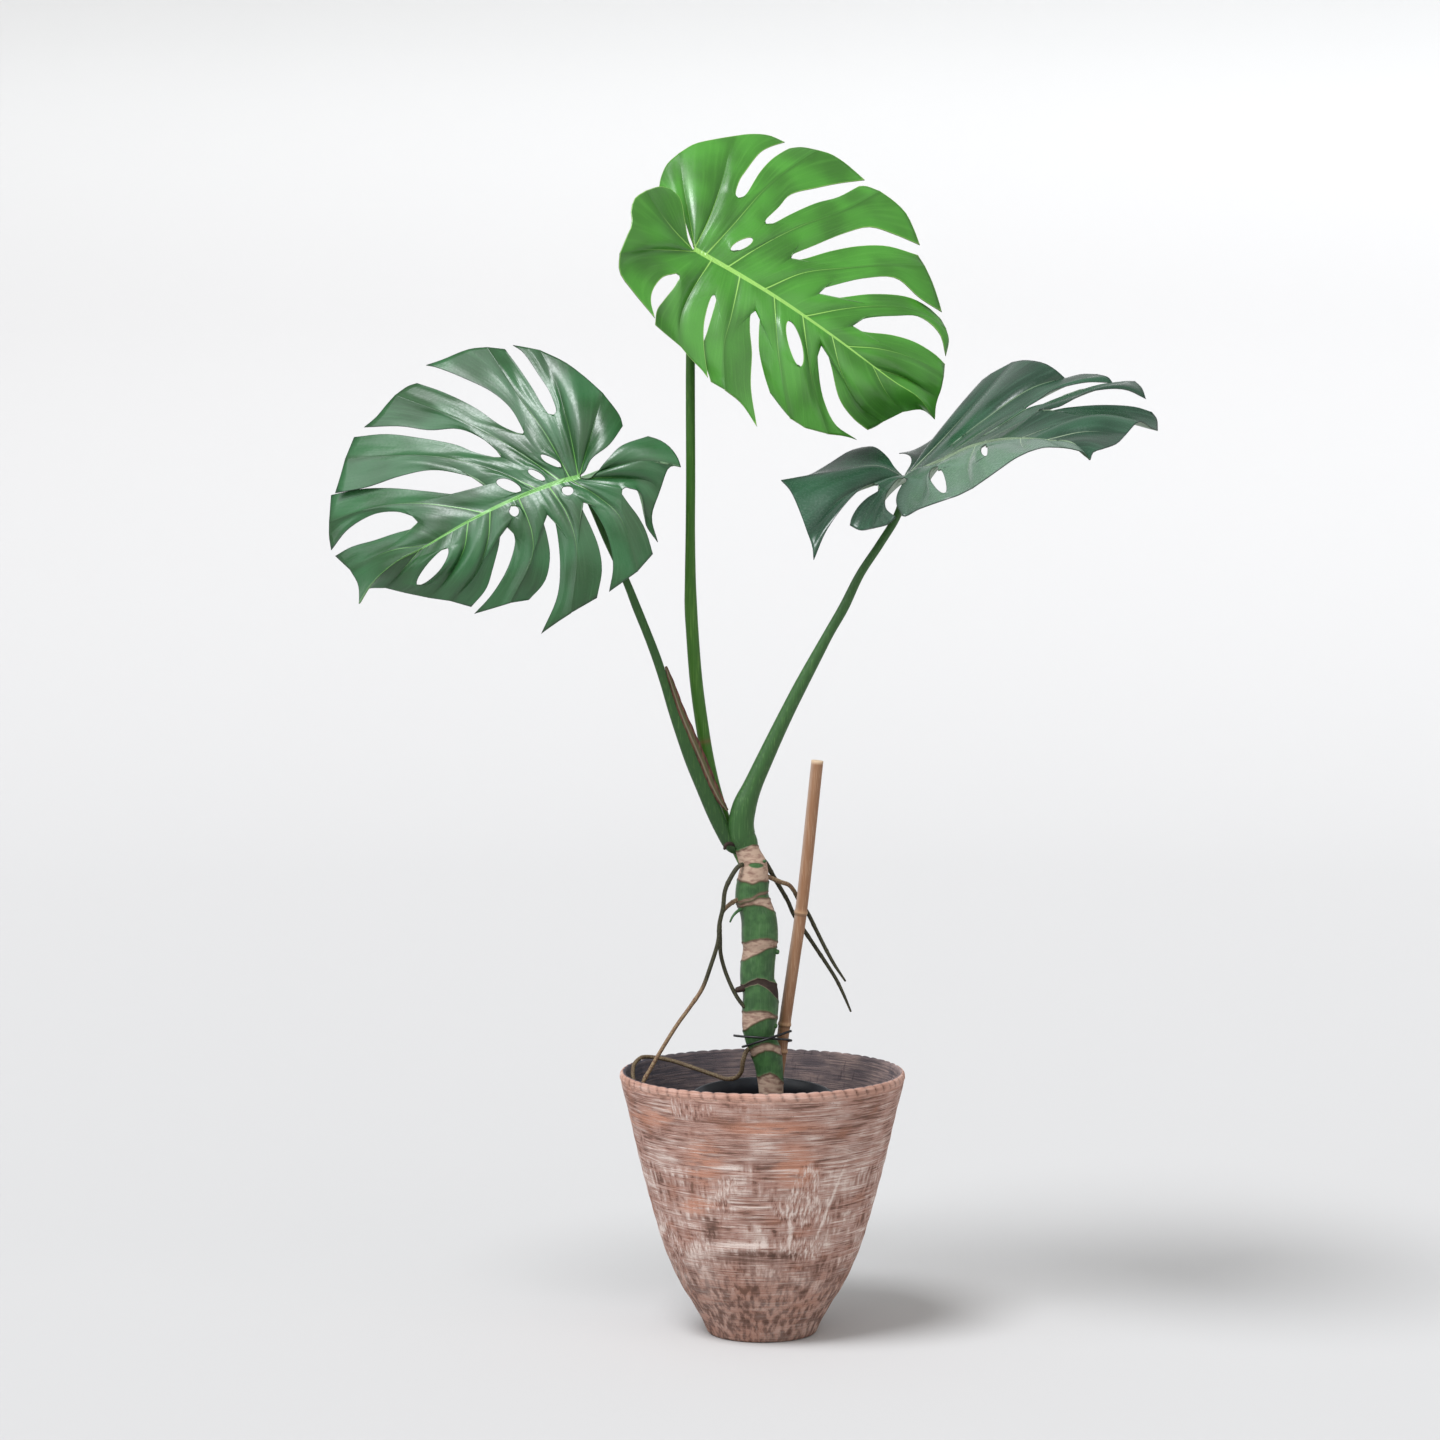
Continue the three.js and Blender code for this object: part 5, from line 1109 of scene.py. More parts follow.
TIMES = {"operation": "MULTIPLY"}
PLUS = {"operation": "ADD"}
LESS = {"operation": "SUBTRACT"}
OVER = {"operation": "DIVIDE"}
LARGER = {"operation": "MAXIMUM"}
BLEND = {"data_type": "RGBA"}
EASE = {"interpolation_type": "SMOOTHSTEP"}


def paint(code):
    """An sRGB hex value as linear red, green, blue and alpha."""
    srgb = np.array([int(code[k:k + 2], 16) for k in (1, 3, 5)]) / 255
    linear = np.where(srgb <= 0.04045, srgb / 12.92, ((srgb + 0.055) / 1.055) ** 2.4)
    return (*linear.tolist(), 1.0)


def per_mm(size):
    """The scale of a pattern on metres whose marks are about that many mm across."""
    return 1 / (size * MM)


def add_node(tree, kind, settings=None, *values, out=None, **inputs):
    """Adds a node and gives its first output in use, or the one named by out. kind is
    its type without ShaderNode, settings are its properties, values and links go to
    the sockets in use in order, and the other inputs by name with _ for a space."""
    node = tree.nodes.new("ShaderNode" + kind)
    for key, value in (settings or {}).items():
        setattr(node, key, value)
    sockets = [socket for socket in node.inputs if socket.enabled]
    pairs = list(zip(sockets, values))
    pairs += [(node.inputs[key.replace("_", " ")], value) for key, value in inputs.items()]
    for socket, value in pairs:
        if isinstance(value, bpy.types.NodeSocket):
            tree.links.new(value, socket)
        else:
            socket.default_value = value
    if out is not None:
        return node.outputs[out]
    return next((socket for socket in node.outputs if socket.enabled), None)


def new_material(name, *fields):
    """An empty node material, add_node for its tree, its Object coordinates, and the
    values that the mesh carries in each of the named fields."""
    material = bpy.data.materials.new(name)
    material.use_nodes = True
    material.node_tree.nodes.clear()
    add = functools.partial(add_node, material.node_tree)
    carried = [add("Attribute", {"attribute_name": field}, out="Fac") for field in fields]
    return material, add, add("TexCoord", out="Object"), *carried


def finish_material(material, add, relief, relief_mm, **looks):
    """Gives a material its shader, with relief raised by relief_mm as bumps."""
    normal = add("Bump", None, Height=relief, Distance=relief_mm * MM, Strength=1.0)
    add("OutputMaterial", None, add("BsdfPrincipled", Normal=normal, **looks))
    return material


def leaf_cuticle(name, deep, middle, light, rib, rim, gloss, mottle, quilt, bloom_and_sheen, shine):
    """Waxy monstera leaf: a smooth cuticle gives a wide soft gloss over even green. It
    is painted darker beside the side veins, as shade in the folds along them, and the
    veins are thin, pale and raised and fade outward. Its gloss is broken by faint cells
    and swellings, whose heights are mottle and quilt tenths of a millimetre, and its rim
    is thin and of its own colour. A pale grey-green lies on the lower half by the share
    set for it: partly waxy bloom, and partly a painted sheen. The underside is paler
    and duller. gloss is the roughness, and shine the strength of the reflections."""
    material, add, place, reach, run, from_vein, from_edge, along, strip, lower, under = new_material(
        name, "reach", "run", "from_vein", "from_edge", "along", "strip", "lower", "under")
    # streaks along the side veins: 5 mm across and 60 mm long, drawn coarse to show
    streak_flow = add("CombineXYZ", None, add("Math", TIMES, strip, 0.055),
                      add("Math", TIMES, run, 0.00009), under)
    streaks = add("TexNoise", None, streak_flow, per_mm(5), 1.0, 0.4)
    blotches = add("TexNoise", None, place, per_mm(48), 1.5, 0.4)
    # the real cells are too fine to show, so these are drawn 2.4 mm across
    cells = add("TexNoise", None, place, per_mm(2.4), 1.0, 0.4)
    # quilting: shallow swellings 16 mm across and 45 mm long that break up the gloss
    swell_flow = add("CombineXYZ", None, add("Math", TIMES, strip, 0.035),
                     add("Math", TIMES, run, 0.00036), under)
    swellings = add("TexNoise", None, swell_flow, per_mm(16), 0.0, 0.4)
    colour = add("Mix", BLEND, add("MapRange", EASE, blotches, 0.32, 0.68), deep, middle)
    colour = add("Mix", BLEND, add("MapRange", EASE, streaks, 0.45, 0.8, 0, 0.25), colour, light)
    # painted shade: deeper green beside the side veins, in the folds of the blade along them
    colour = add("Mix", BLEND, add("MapRange", EASE, from_vein, 6.5, 0.8, 0, 0.72), colour, deep)
    # a pale grey-green on the lower half: partly waxy bloom, partly a painted sheen on that half
    bloom_and_sheen_share = add("Math", TIMES, add("MapRange", EASE, along, 0.05, 0.35, 0, bloom_and_sheen), lower)
    colour = add("Mix", BLEND, bloom_and_sheen_share, colour, paint("#8fa896"))
    vein_width = add("Math", LARGER, add("Math", LESS, 1.05, add("Math", TIMES, reach, 0.95)), 0.15)
    vein_line = add("MapRange", EASE, add("Math", OVER, from_vein, vein_width), 1.0, 0.35)
    vein_line = add("Math", TIMES, vein_line, add("MapRange", EASE, reach, 0.8, 0.1, 0, 0.9))
    colour = add("Mix", BLEND, vein_line, colour, rib)
    midrib_width = add("Math", PLUS, add("Math", TIMES, add("Math", LESS, 1.0, along), 1.15), 0.2)
    midrib_line = add("MapRange", EASE, add("Math", OVER, run, midrib_width), 1.15, 0.45, 0, 0.85)
    colour = add("Mix", BLEND, midrib_line, colour, rib)
    colour = add("Mix", BLEND, add("MapRange", EASE, from_edge, 1.1, 0.3, 0, 0.75), colour, rim)
    pale = add("Mix", BLEND, 0.5, middle, paint("#93ad86"))
    colour = add("Mix", BLEND, add("Math", TIMES, under, 0.7), colour, pale)
    relief = add("Math", PLUS, add("Math", TIMES, streaks, 1.2), add("Math", TIMES, cells, mottle))
    relief = add("Math", PLUS, relief, add("Math", TIMES, swellings, quilt))
    rough = add("Math", PLUS, gloss, add("Math", TIMES, under, 0.2))
    rough = add("Math", PLUS, rough, add("MapRange", EASE, cells, 0.35, 0.65, 0, 0.07))
    return finish_material(material, add, relief, 0.1, Base_Color=colour, Roughness=rough, IOR=1.47,
                           Specular_IOR_Level=shine)


def stalk_skin(name, low, high, fibre):
    """Leaf stalk: a smooth satin skin, shifting from one green to another along its
    length, with long thin fibres, scattered brown pores and brown joints. The fibres
    and pores are drawn about 1 mm wide, coarser than the real ones, so that they show."""
    material, add, place, along, brown = new_material(name, "along", "brown")
    drawn_out = add("Mapping", None, place, Scale=(1, 1, 0.03))
    fibres = add("TexNoise", None, drawn_out, per_mm(1.3), 2.0, 0.5)
    pores = add("TexNoise", None, add("Mapping", None, place, Scale=(1, 1, 0.4)), per_mm(1), 1.0, 0.5)
    colour = add("Mix", BLEND, along, high, low)
    colour = add("Mix", BLEND, add("MapRange", EASE, fibres, 0.5, 0.75, 0, 0.45), colour, fibre)
    colour = add("Mix", BLEND, add("MapRange", EASE, pores, 0.7, 0.78, 0, 0.5), colour, paint("#4a4028"))
    colour = add("Mix", BLEND, brown, colour, paint("#6a4a34"))
    return finish_material(material, add, fibres, 0.12, Base_Color=colour, Roughness=0.4, IOR=1.45,
                           Specular_IOR_Level=0.35)


def dry_sheath_paper(dark, pale):
    """Dying leaf sheath: thin skin, olive in its middle and dried to brown paper at its
    hems, matt and crumpled along its length, with a bleached fold."""
    material, add, place, hem, fold = new_material("dried_leaf_sheath", "hem", "fold")
    drawn_out = add("Mapping", None, place, Scale=(1, 1, 0.12))
    grain = add("TexNoise", None, drawn_out, per_mm(1.8), 4.0, 0.6)
    colour = add("Mix", BLEND, add("MapRange", EASE, grain, 0.35, 0.7), dark, pale)
    colour = add("Mix", BLEND, add("MapRange", EASE, hem, 0.75, 0.3, 0, 0.7), colour, paint("#4a5230"))
    colour = add("Mix", BLEND, add("Math", TIMES, fold, 0.35), colour, paint("#b09a8c"))
    return finish_material(material, add, grain, 0.5, Base_Color=colour, Roughness=0.85, IOR=1.45)


def stem_skin(green, cork):
    """Monstera stem: satin green skin with faint upright fibres, and corky leaf scars
    that are matt, mottled tan and browner along their lips, and nearly black where
    they are deep."""
    material, add, place, scar, dark, lip = new_material("green_stem_skin", "scar", "dark", "lip")
    drawn_out = add("Mapping", None, place, Scale=(1, 1, 0.08))
    fibres = add("TexNoise", None, drawn_out, per_mm(1.4), 3.0, 0.5)
    blotches = add("TexNoise", None, place, per_mm(9), 3.0, 0.5)
    laid_flat = add("Mapping", None, place, Scale=(0.4, 0.4, 1))
    crumbs = add("TexNoise", None, laid_flat, per_mm(3.4), 2.0, 0.5)
    deep = add("Mix", BLEND, 0.55, green, paint("#1f3a22"))
    skin = add("Mix", BLEND, add("MapRange", EASE, blotches, 0.35, 0.7), deep, green)
    skin = add("Mix", BLEND, add("MapRange", EASE, fibres, 0.5, 0.75, 0, 0.14), skin, paint("#7d9a70"))
    crust = add("Mix", BLEND, add("MapRange", EASE, crumbs, 0.3, 0.6), paint("#86695b"), cork)
    black_crust = add("Mix", BLEND, crumbs, paint("#181210"), paint("#43332b"))
    colour = add("Mix", BLEND, scar, skin, add("Mix", BLEND, dark, crust, black_crust))
    colour = add("Mix", BLEND, add("Math", TIMES, lip, 0.8), colour, paint("#553f2f"))
    rough = add("Math", PLUS, 0.4, add("Math", TIMES, scar, 0.38))
    relief = add("Math", PLUS, add("Math", TIMES, fibres, 0.5), add("Math", TIMES, crumbs, scar))
    return finish_material(material, add, relief, 0.5, Base_Color=colour, Roughness=rough, IOR=1.45,
                           Specular_IOR_Level=0.35)


def bamboo(dark, pale):
    """Seasoned bamboo cane: brown, satin turned matt, with long pale fibres, tan nodes
    over dark grooves, a paler left side that is a painted highlight where the light
    falls, and a pale rough-sawn top. The fibres are drawn 0.9 mm wide, coarser than
    the real ones, so that they show."""
    material, add, place, node, cut, groove, weathered = new_material(
        "seasoned_bamboo", "node", "cut", "groove", "weathered")
    drawn_out = add("Mapping", None, place, Scale=(1, 1, 0.03))
    fibres = add("TexNoise", None, drawn_out, per_mm(0.9), 3.0, 0.5)
    blotches = add("TexNoise", None, add("Mapping", None, place, Scale=(1, 1, 0.35)), per_mm(12), 3.0, 0.5)
    colour = add("Mix", BLEND, add("MapRange", EASE, blotches, 0.35, 0.7), dark, pale)
    colour = add("Mix", BLEND, add("MapRange", EASE, fibres, 0.5, 0.78, 0, 0.5), colour, paint("#c9a98c"))
    # a painted highlight on the left side, then the nodes, the grooves and the cut top
    for share, code in [(add("Math", TIMES, weathered, 0.35), "#d6c3b6"),
                        (add("Math", TIMES, node, 0.6), "#c9a27c"),
                        (add("Math", TIMES, groove, 0.6), "#4f3424"), (cut, "#cdb394")]:
        colour = add("Mix", BLEND, share, colour, paint(code))
    return finish_material(material, add, fibres, 0.3, Base_Color=colour, Roughness=0.6, IOR=1.5)


def root_skin(olive, tan):
    """Aerial root: dry olive-brown skin, tan where it has aged, finely wrinkled and
    matt."""
    material, add, place, aged_share = new_material("aerial_root_skin", "tan")
    wrinkles = add("TexNoise", None, place, per_mm(1.2), 4.0, 0.5)
    share = add("MapRange", EASE, wrinkles, 0.4, 0.65)
    fresh = add("Mix", BLEND, share, paint("#2a291a"), olive)
    aged = add("Mix", BLEND, share, paint("#6b4e3c"), tan)
    colour = add("Mix", BLEND, aged_share, fresh, aged)
    return finish_material(material, add, wrinkles, 0.25, Base_Color=colour, Roughness=0.7, IOR=1.45)


def coated_wire(colour):
    """PVC-coated tying wire: near black, smooth and dull, faintly scuffed."""
    material, add, place = new_material("pvc_coated_wire")
    scuffs = add("TexNoise", None, place, per_mm(3), 4.0, 0.6)
    tone = add("Mix", BLEND, add("MapRange", EASE, scuffs, 0.4, 0.7), colour, paint("#17181b"))
    return finish_material(material, add, scuffs, 0.05, Base_Color=tone, Roughness=0.45, IOR=1.5)


def moulded_plastic(colour):
    """Moulded polypropylene: blue-black and semi-matt, dusty in clouds, with an even
    grain that softens its gloss. The grain is drawn 1.2 mm wide, coarser than the real
    one, so that it shows."""
    material, add, place = new_material("moulded_polypropylene")
    grain = add("TexNoise", None, place, per_mm(1.2), 3.0, 0.6)
    dust = add("TexNoise", None, place, per_mm(26), 3.0, 0.5)
    tone = add("Mix", BLEND, add("MapRange", EASE, dust, 0.45, 0.75, 0, 0.35), colour, paint("#3c424b"))
    return finish_material(material, add, grain, 0.07, Base_Color=tone, Roughness=0.42, IOR=1.49)


def potting_soil(dark, pale):
    """Peat potting mix: dark brown crumbs with paler bark bits, matt and rough."""
    material, add, place = new_material("peat_potting_mix")
    crumbs = add("TexNoise", None, place, per_mm(2.4), 5.0, 0.6)
    bark = add("TexVoronoi", None, place, Scale=per_mm(5), out="Distance")
    colour = add("Mix", BLEND, add("MapRange", EASE, crumbs, 0.35, 0.7), dark, pale)
    colour = add("Mix", BLEND, add("MapRange", EASE, bark, 0.22, 0.1, 0, 0.5), colour, paint("#7c6650"))
    return finish_material(material, add, crumbs, 1.2, Base_Color=colour, Roughness=0.95, IOR=1.45)


def brushwork(add, place, height_m, level, broad, upright):
    """The lines of the brush, from bare at 0 to thick slip at 1. They go round the pot,
    cross into upright ones low down and in zones, and slant in others."""
    turned = add("Mapping", None, place, Rotation=(0, 0.75, 0), Scale=(1, 1, 0.05))
    slanting = add("TexNoise", None, turned, per_mm(2.4), 2.0, 0.65)
    zones = add("TexNoise", None, place, per_mm(60), 2.0, 0.5)
    moved = add("Mapping", None, place, Location=(0.3, 0.1, 0.2))
    slants = add("TexNoise", None, moved, per_mm(62), 2.0, 0.5)
    zones = add("Math", PLUS, zones, add("MapRange", EASE, height_m, 0.2, 0.165, 0, 0.24))
    woven = add("Mix", BLEND, add("MapRange", EASE, broad, 0.44, 0.56, 0.2, 0.8), upright, level)
    lines = add("Mix", BLEND, add("MapRange", EASE, zones, 0.58, 0.68, 0, 0.9), level, woven)
    return add("Mix", BLEND, add("MapRange", EASE, slants, 0.56, 0.64, 0, 0.85), lines, slanting)


def brushed_terracotta(clay, slip, warm):
    """Whitewashed terracotta, thrown and brushed by hand: matt brown clay under thin
    chalky slip. The brush went round the pot in fine lines near the rim, and up and
    down lower on, and the slip is rubbed off to orange clay in places. It is stained in
    a spot, and darkened under the smeared lip by a painted shadow. The foot is bare and
    darker towards the bottom by painted shade, the crimps of the rim are dark between
    by painted shade in their creases, and the lining is grey and damp, with painted
    shade on its left side."""
    material, add, place, inside, gap, rim, rubbed, stained, chalked = new_material(
        "brushed_terracotta", "inside", "gap", "rim", "rubbed", "stained", "chalked")
    height_m = add("SeparateXYZ", None, place, out="Z")
    # the X place, used to paint shade on the left of the lining
    shade_across_m = add("SeparateXYZ", None, place, out="X")
    # Bristle lines round the pot are 1.5 mm wide and 40 mm long, the dabs under them
    # 6 by 40 mm, and the upright strokes 5.5 mm wide and 150 mm long. The grit is drawn
    # 1.3 mm wide, coarser than the real one, so that it shows.
    round_the_pot = add("Mapping", None, place, Rotation=(0.02, 0.03, 0), Scale=(0.036, 0.036, 1))
    level = add("TexNoise", None, round_the_pot, per_mm(1.5), 3.0, 0.65)
    dabs = add("Mapping", None, place, Scale=(0.16, 0.16, 1))
    broad = add("TexNoise", None, dabs, per_mm(6), 3.0, 0.6)
    up_the_pot = add("Mapping", None, place, Scale=(1, 1, 0.035))
    upright = add("TexNoise", None, up_the_pot, per_mm(5.5), 2.5, 0.55)
    patches = add("TexNoise", None, add("Mapping", None, place, Scale=(1, 1, 1.5)), per_mm(38), 3.0, 0.55)
    grit = add("TexNoise", None, place, per_mm(1.3), 2.0, 0.6)
    brushed = brushwork(add, place, height_m, level, broad, upright)
    # the slip is thinner and its lines fainter above the upright strokes
    faint = add("MapRange", EASE, height_m, 0.21, 0.17, 0.85, 1.1)
    brushed = add("Math", PLUS, add("Math", TIMES, add("Math", LESS, brushed, 0.5), faint), 0.5)
    slip_share = add("Math", PLUS, brushed, add("Math", TIMES, add("Math", LESS, patches, 0.5), 0.55))
    slip_share = add("Math", PLUS, slip_share, add("Math", TIMES, chalked, 0.18))
    slip_share = add("Math", PLUS, slip_share, add("Math", TIMES, add("Math", LESS, faint, 1.0), 0.2))
    # less slip in the stain and in the painted shadow under the smeared lip
    slip_share = add("Math", LESS, slip_share, add("Math", TIMES, stained, 0.1))
    clay_dark = add("Mix", BLEND, 0.3, clay, paint("#4c372f"))
    colour = add("Mix", BLEND, add("MapRange", EASE, broad, 0.36, 0.6), clay_dark, clay)
    thin_slip = add("Mix", BLEND, 0.55, clay, slip)
    colour = add("Mix", BLEND, add("MapRange", EASE, slip_share, 0.38, 0.62, 0, 0.6), colour, thin_slip)
    colour = add("Mix", BLEND, add("MapRange", EASE, slip_share, 0.54, 0.72, 0, 0.8), colour, slip)
    bare = add("MapRange", EASE, slip_share, 0.46, 0.32, 0, 0.8)
    colour = add("Mix", BLEND, bare, colour, paint("#5a443b"))
    rubbed = add("Math", TIMES, rubbed, add("MapRange", EASE, broad, 0.34, 0.5))
    rubbed = add("Math", LARGER, rubbed, add("MapRange", EASE, patches, 0.44, 0.24, 0, 0.6))
    rubbed = add("Math", TIMES, rubbed, add("MapRange", EASE, brushed, 0.7, 0.46, 0, 0.6))
    colour = add("Mix", BLEND, rubbed, colour, warm)
    # the stain, and the painted shadow under the smeared lip
    stain_and_shadow = add("Math", TIMES, stained, add("MapRange", EASE, brushed, 0.68, 0.46, 0, 0.65))
    colour = add("Mix", BLEND, stain_and_shadow, colour, paint("#59443b"))
    # the foot: bare clay, and darker towards the bottom as painted shade under the wall that faces down
    foot = add("Mix", BLEND, add("MapRange", EASE, upright, 0.4, 0.6), paint("#5f473d"), paint("#a9806f"))
    colour = add("Mix", BLEND, add("MapRange", EASE, height_m, 0.11, 0.04, 0, 0.7), colour, foot)
    colour = add("Mix", BLEND, add("MapRange", EASE, grit, 0.36, 0.28, 0, 0.6), colour, paint("#4f3b33"))
    # the rim's crimps are pale, and dark in the gaps between them: painted shade in the creases
    crimp_and_gap_shade = add("Mix", BLEND, add("MapRange", EASE, gap, 0.1, 0.8), paint("#cda08e"), paint("#6e5042"))
    colour = add("Mix", BLEND, add("Math", TIMES, rim, 0.5), colour, crimp_and_gap_shade)
    # the lining: grey clay with dark patches and streaks, and painted shade darkening its left side
    lining = add("Mix", BLEND, add("MapRange", EASE, level, 0.36, 0.66), paint("#665b5c"), paint("#a08a84"))
    for share, code in [(add("MapRange", EASE, patches, 0.4, 0.62, 0, 0.5), "#4a464e"),
                        (add("MapRange", EASE, upright, 0.6, 0.7, 0, 0.4), "#2c2b33"),
                        (add("MapRange", EASE, shade_across_m, 0.04, -0.13, 0, 0.7), "#2f323d")]:
        lining = add("Mix", BLEND, share, lining, paint(code))
    colour = add("Mix", BLEND, inside, colour, lining)
    relief = add("Math", PLUS, brushed, add("Math", TIMES, grit, 0.5))
    return finish_material(material, add, relief, 1.2, Base_Color=colour, Roughness=0.92, IOR=1.5,
                           Specular_IOR_Level=0.3)


def studio_paper(colour):
    """Seamless studio paper: pale, neutral and matt, lighter up the wall so that it
    looks even. Its fibres are too fine to show and are drawn as clouds 600 mm wide."""
    material, add, place = new_material("seamless_studio_paper")
    height_m = add("SeparateXYZ", None, place, out="Z")
    fibre = add("TexNoise", None, place, per_mm(600), 2.0, 0.5)
    tone = add("Mix", BLEND, add("MapRange", EASE, height_m, 1.0, 1.9), colour, paint("#dcdcdb"))
    tone = add("Mix", BLEND, add("Math", TIMES, fibre, 0.06), tone, paint("#c6c6c6"))
    shader = add("BsdfPrincipled", Base_Color=tone, Roughness=0.95, Specular_IOR_Level=0.1)
    add("OutputMaterial", None, shader)
    return material


# ------------------------------------------------------------------ settings

def colour_property(name, description, code):
    """A colour whose default is an sRGB hex value."""
    return FloatVectorProperty(name=name, description=description, subtype="COLOR", size=4,
                               min=0, max=1, default=paint(code))


def length_property(name, description, mm, low_mm, high_mm):
    """A length in metres whose default and limits are given in millimetres."""
    return FloatProperty(name=name, description=description, subtype="DISTANCE", unit="LENGTH",
                         precision=5, default=mm * MM, min=low_mm * MM, max=high_mm * MM)


def light_property(name, description, strength):
    """The strength of a light."""
    return FloatProperty(name=name, description=description, default=strength, min=0, max=20)


class MonsteraStageSettings(PropertyGroup):
    """The floor, the lights and the world."""
    paper: colour_property("Paper", "Colour of the seamless paper on the floor", "#c7c6c5")
    key_power: light_property("Key light", "Strength of the soft light from above", 2.7)
    fill_power: light_property("Fill light", "Strength of the wide light from the front", 0.9)
    side_power: light_property("Side light", "Strength of the soft light from the left", 0.8)
    sky_power: light_property("Sky", "Strength of the light from all round", 0.5)


class MonsteraLeafSettings(PropertyGroup):
    """The three blades."""
    thickness: length_property("Thickness", "Thickness of the blades", 0.9, 0.6, 2)
    vein_height: length_property("Vein height", "How far the side veins stand up", 0.35, 0, 1)
    top_green: colour_property("Top leaf", "Green of the top leaf", "#458f28")
    left_green: colour_property("Left leaf", "Green of the left leaf", "#2e6238")
    right_green: colour_property("Right leaf", "Green of the right leaf", "#2a5039")


class MonsteraStalkSettings(PropertyGroup):
    """The leaf stalks and the dry sheath."""
    left_green: colour_property("Left stalk", "Green of the left leaf's stalk", "#2a4925")
    top_green: colour_property("Top stalk", "Green of the top leaf's stalk", "#3a641f")
    right_green: colour_property("Right stalk", "Green of the right leaf's stalk", "#34582d")
    sheath_brown: colour_property("Sheath", "Brown of the dry sheath", "#6b3f33")


class MonsteraStemSettings(PropertyGroup):
    """The stem and the aerial roots."""
    green: colour_property("Skin", "Green of the stem", "#42683b")
    cork: colour_property("Scars", "Tan of the corky leaf scars", "#b49a87")
    root_olive: colour_property("Young roots", "Olive of the younger aerial roots", "#46442c")
    root_tan: colour_property("Aged roots", "Tan of the aged stretches", "#94805f")


class MonsteraSupportSettings(PropertyGroup):
    """The cane and the wire tie."""
    cane_radius: length_property("Cane radius", "Half the thickness of the cane", CANE_RADIUS, 3, 10)
    cane_tan: colour_property("Cane", "Tan of the cane", "#966f51")
    wire_radius: length_property("Wire radius", "Half the thickness of the wire", TIE_RADIUS, 0.5, 2)
    wire_black: colour_property("Wire", "Colour of the wire's coat", "#060708")


class MonsteraPotSettings(PropertyGroup):
    """The outer pot, the grow pot in it and the potting mix."""
    clay: colour_property("Clay", "Brown of the bare clay", "#a77d6f")
    slip: colour_property("Slip", "Chalky white of the brushed slip", "#e6d6cd")
    warm: colour_property("Rubbed clay", "Orange of the rubbed places", "#cc8f74")
    plastic: colour_property("Grow pot", "Black of the grow pot", "#171a20")
    soil: colour_property("Potting mix", "Brown of the potting mix", "#5a4434")


# ----------------------------------------------------------------- operators

def dress(obj, material, slot, *nodes):
    """Gives a piece its material and body, and hides the CAD nodes that it replaces; slot is not used."""
    obj.data.materials.append(material)
    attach(obj, "root")
    if nodes:
        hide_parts(*nodes)


class MONSTERA_OT_stage(Operator):
    """Add the camera, the seamless floor and the soft lights"""
    bl_idname = "monstera.stage"
    bl_label = "Add Stage"

    def execute(self, context):
        settings = context.scene.monstera_stage
        scene = context.scene
        camera = bpy.data.cameras.new("camera")
        camera.sensor_width = SENSOR_WIDTH_MM
        camera.lens = SENSOR_WIDTH_MM * VIEW_FOCAL / (2 * VIEW_CENTRE)
        camera.clip_end = 50
        eye = bpy.data.objects.new("camera", camera)
        eye.location = VIEW_EYE_MM * MM
        eye.rotation_euler = (math.pi / 2 - VIEW_PITCH_DOWN, 0, 0)
        scene.collection.objects.link(eye)
        scene.camera = eye
        floor = studio_floor_object()
        floor.data.materials.append(studio_paper(tuple(settings.paper)))
        world = bpy.data.worlds.new("studio")
        world.use_nodes = True
        background = world.node_tree.nodes["Background"]
        background.inputs["Color"].default_value = paint("#f4f5f7")
        background.inputs["Strength"].default_value = settings.sky_power
        scene.world = world
        scene.view_settings.view_transform = "Standard"
        # each light's direction as seen from the plant, and its spread in degrees
        for name, direction, spread, power, tint in [
            ("key_light", (-0.3, -0.35, 0.89), 24, settings.key_power, "#f9fbff"),
            ("fill_light", (0.35, -0.83, 0.42), 80, settings.fill_power, "#fffcf8"),
            ("side_light", (-0.75, -0.45, 0.48), 40, settings.side_power, "#f4f9ff"),
        ]:
            sun = bpy.data.lights.new(name, "SUN")
            sun.angle = math.radians(spread)
            sun.energy = power
            sun.color = paint(tint)[:3]
            lamp = bpy.data.objects.new(name, sun)
            lamp.rotation_euler = Vector(direction).to_track_quat("Z", "Y").to_euler()
            lamp.location = Vector(direction) * 4
            scene.collection.objects.link(lamp)
        return {"FINISHED"}


class MONSTERA_OT_leaves(Operator):
    """Add the three blades"""
    bl_idname = "monstera.leaves"
    bl_label = "Add Leaves"

    def execute(self, context):
        settings = context.scene.monstera_leaves
        # name, outline, slot, middle green, the deep, light, rib and rim greens, finish
        blades = [
            ("top", TOP_LEAF, "leaf_bright_green", settings.top_green,
             ["#347019", "#5ca63c", "#9ad062", "#8cb95a"],
             {"gloss": 0.28, "mottle": 0.3, "quilt": 9, "bloom_and_sheen": 0.0, "shine": 0.75}),
            ("left", LEFT_LEAF, "leaf_dark_green", settings.left_green,
             ["#204a22", "#44774a", "#78b85c", "#1d3b26"],
             {"gloss": 0.31, "mottle": 0.9, "quilt": 21, "bloom_and_sheen": 0.0, "shine": 0.7}),
            ("right", RIGHT_LEAF, "leaf_grey_green", settings.right_green,
             ["#1d3a29", "#4c725b", "#a9bd9c", "#1c332a"],
             {"gloss": 0.22, "mottle": 0.5, "quilt": 17, "bloom_and_sheen": 0.45, "shine": 0.55}),
        ]
        sizes = settings.thickness / MM, settings.vein_height / MM
        for name, leaf, slot, green, codes, finish in blades:
            blade = new_object("blade_" + name, *leaf_mesh(leaf, *sizes))
            deep, light, rib, rim = (paint(code) for code in codes)
            cuticle = leaf_cuticle("waxy_leaf_" + name, deep, tuple(green), light, rib, rim, **finish)
            dress(blade, cuticle, slot, "leaf_" + name)
        return {"FINISHED"}


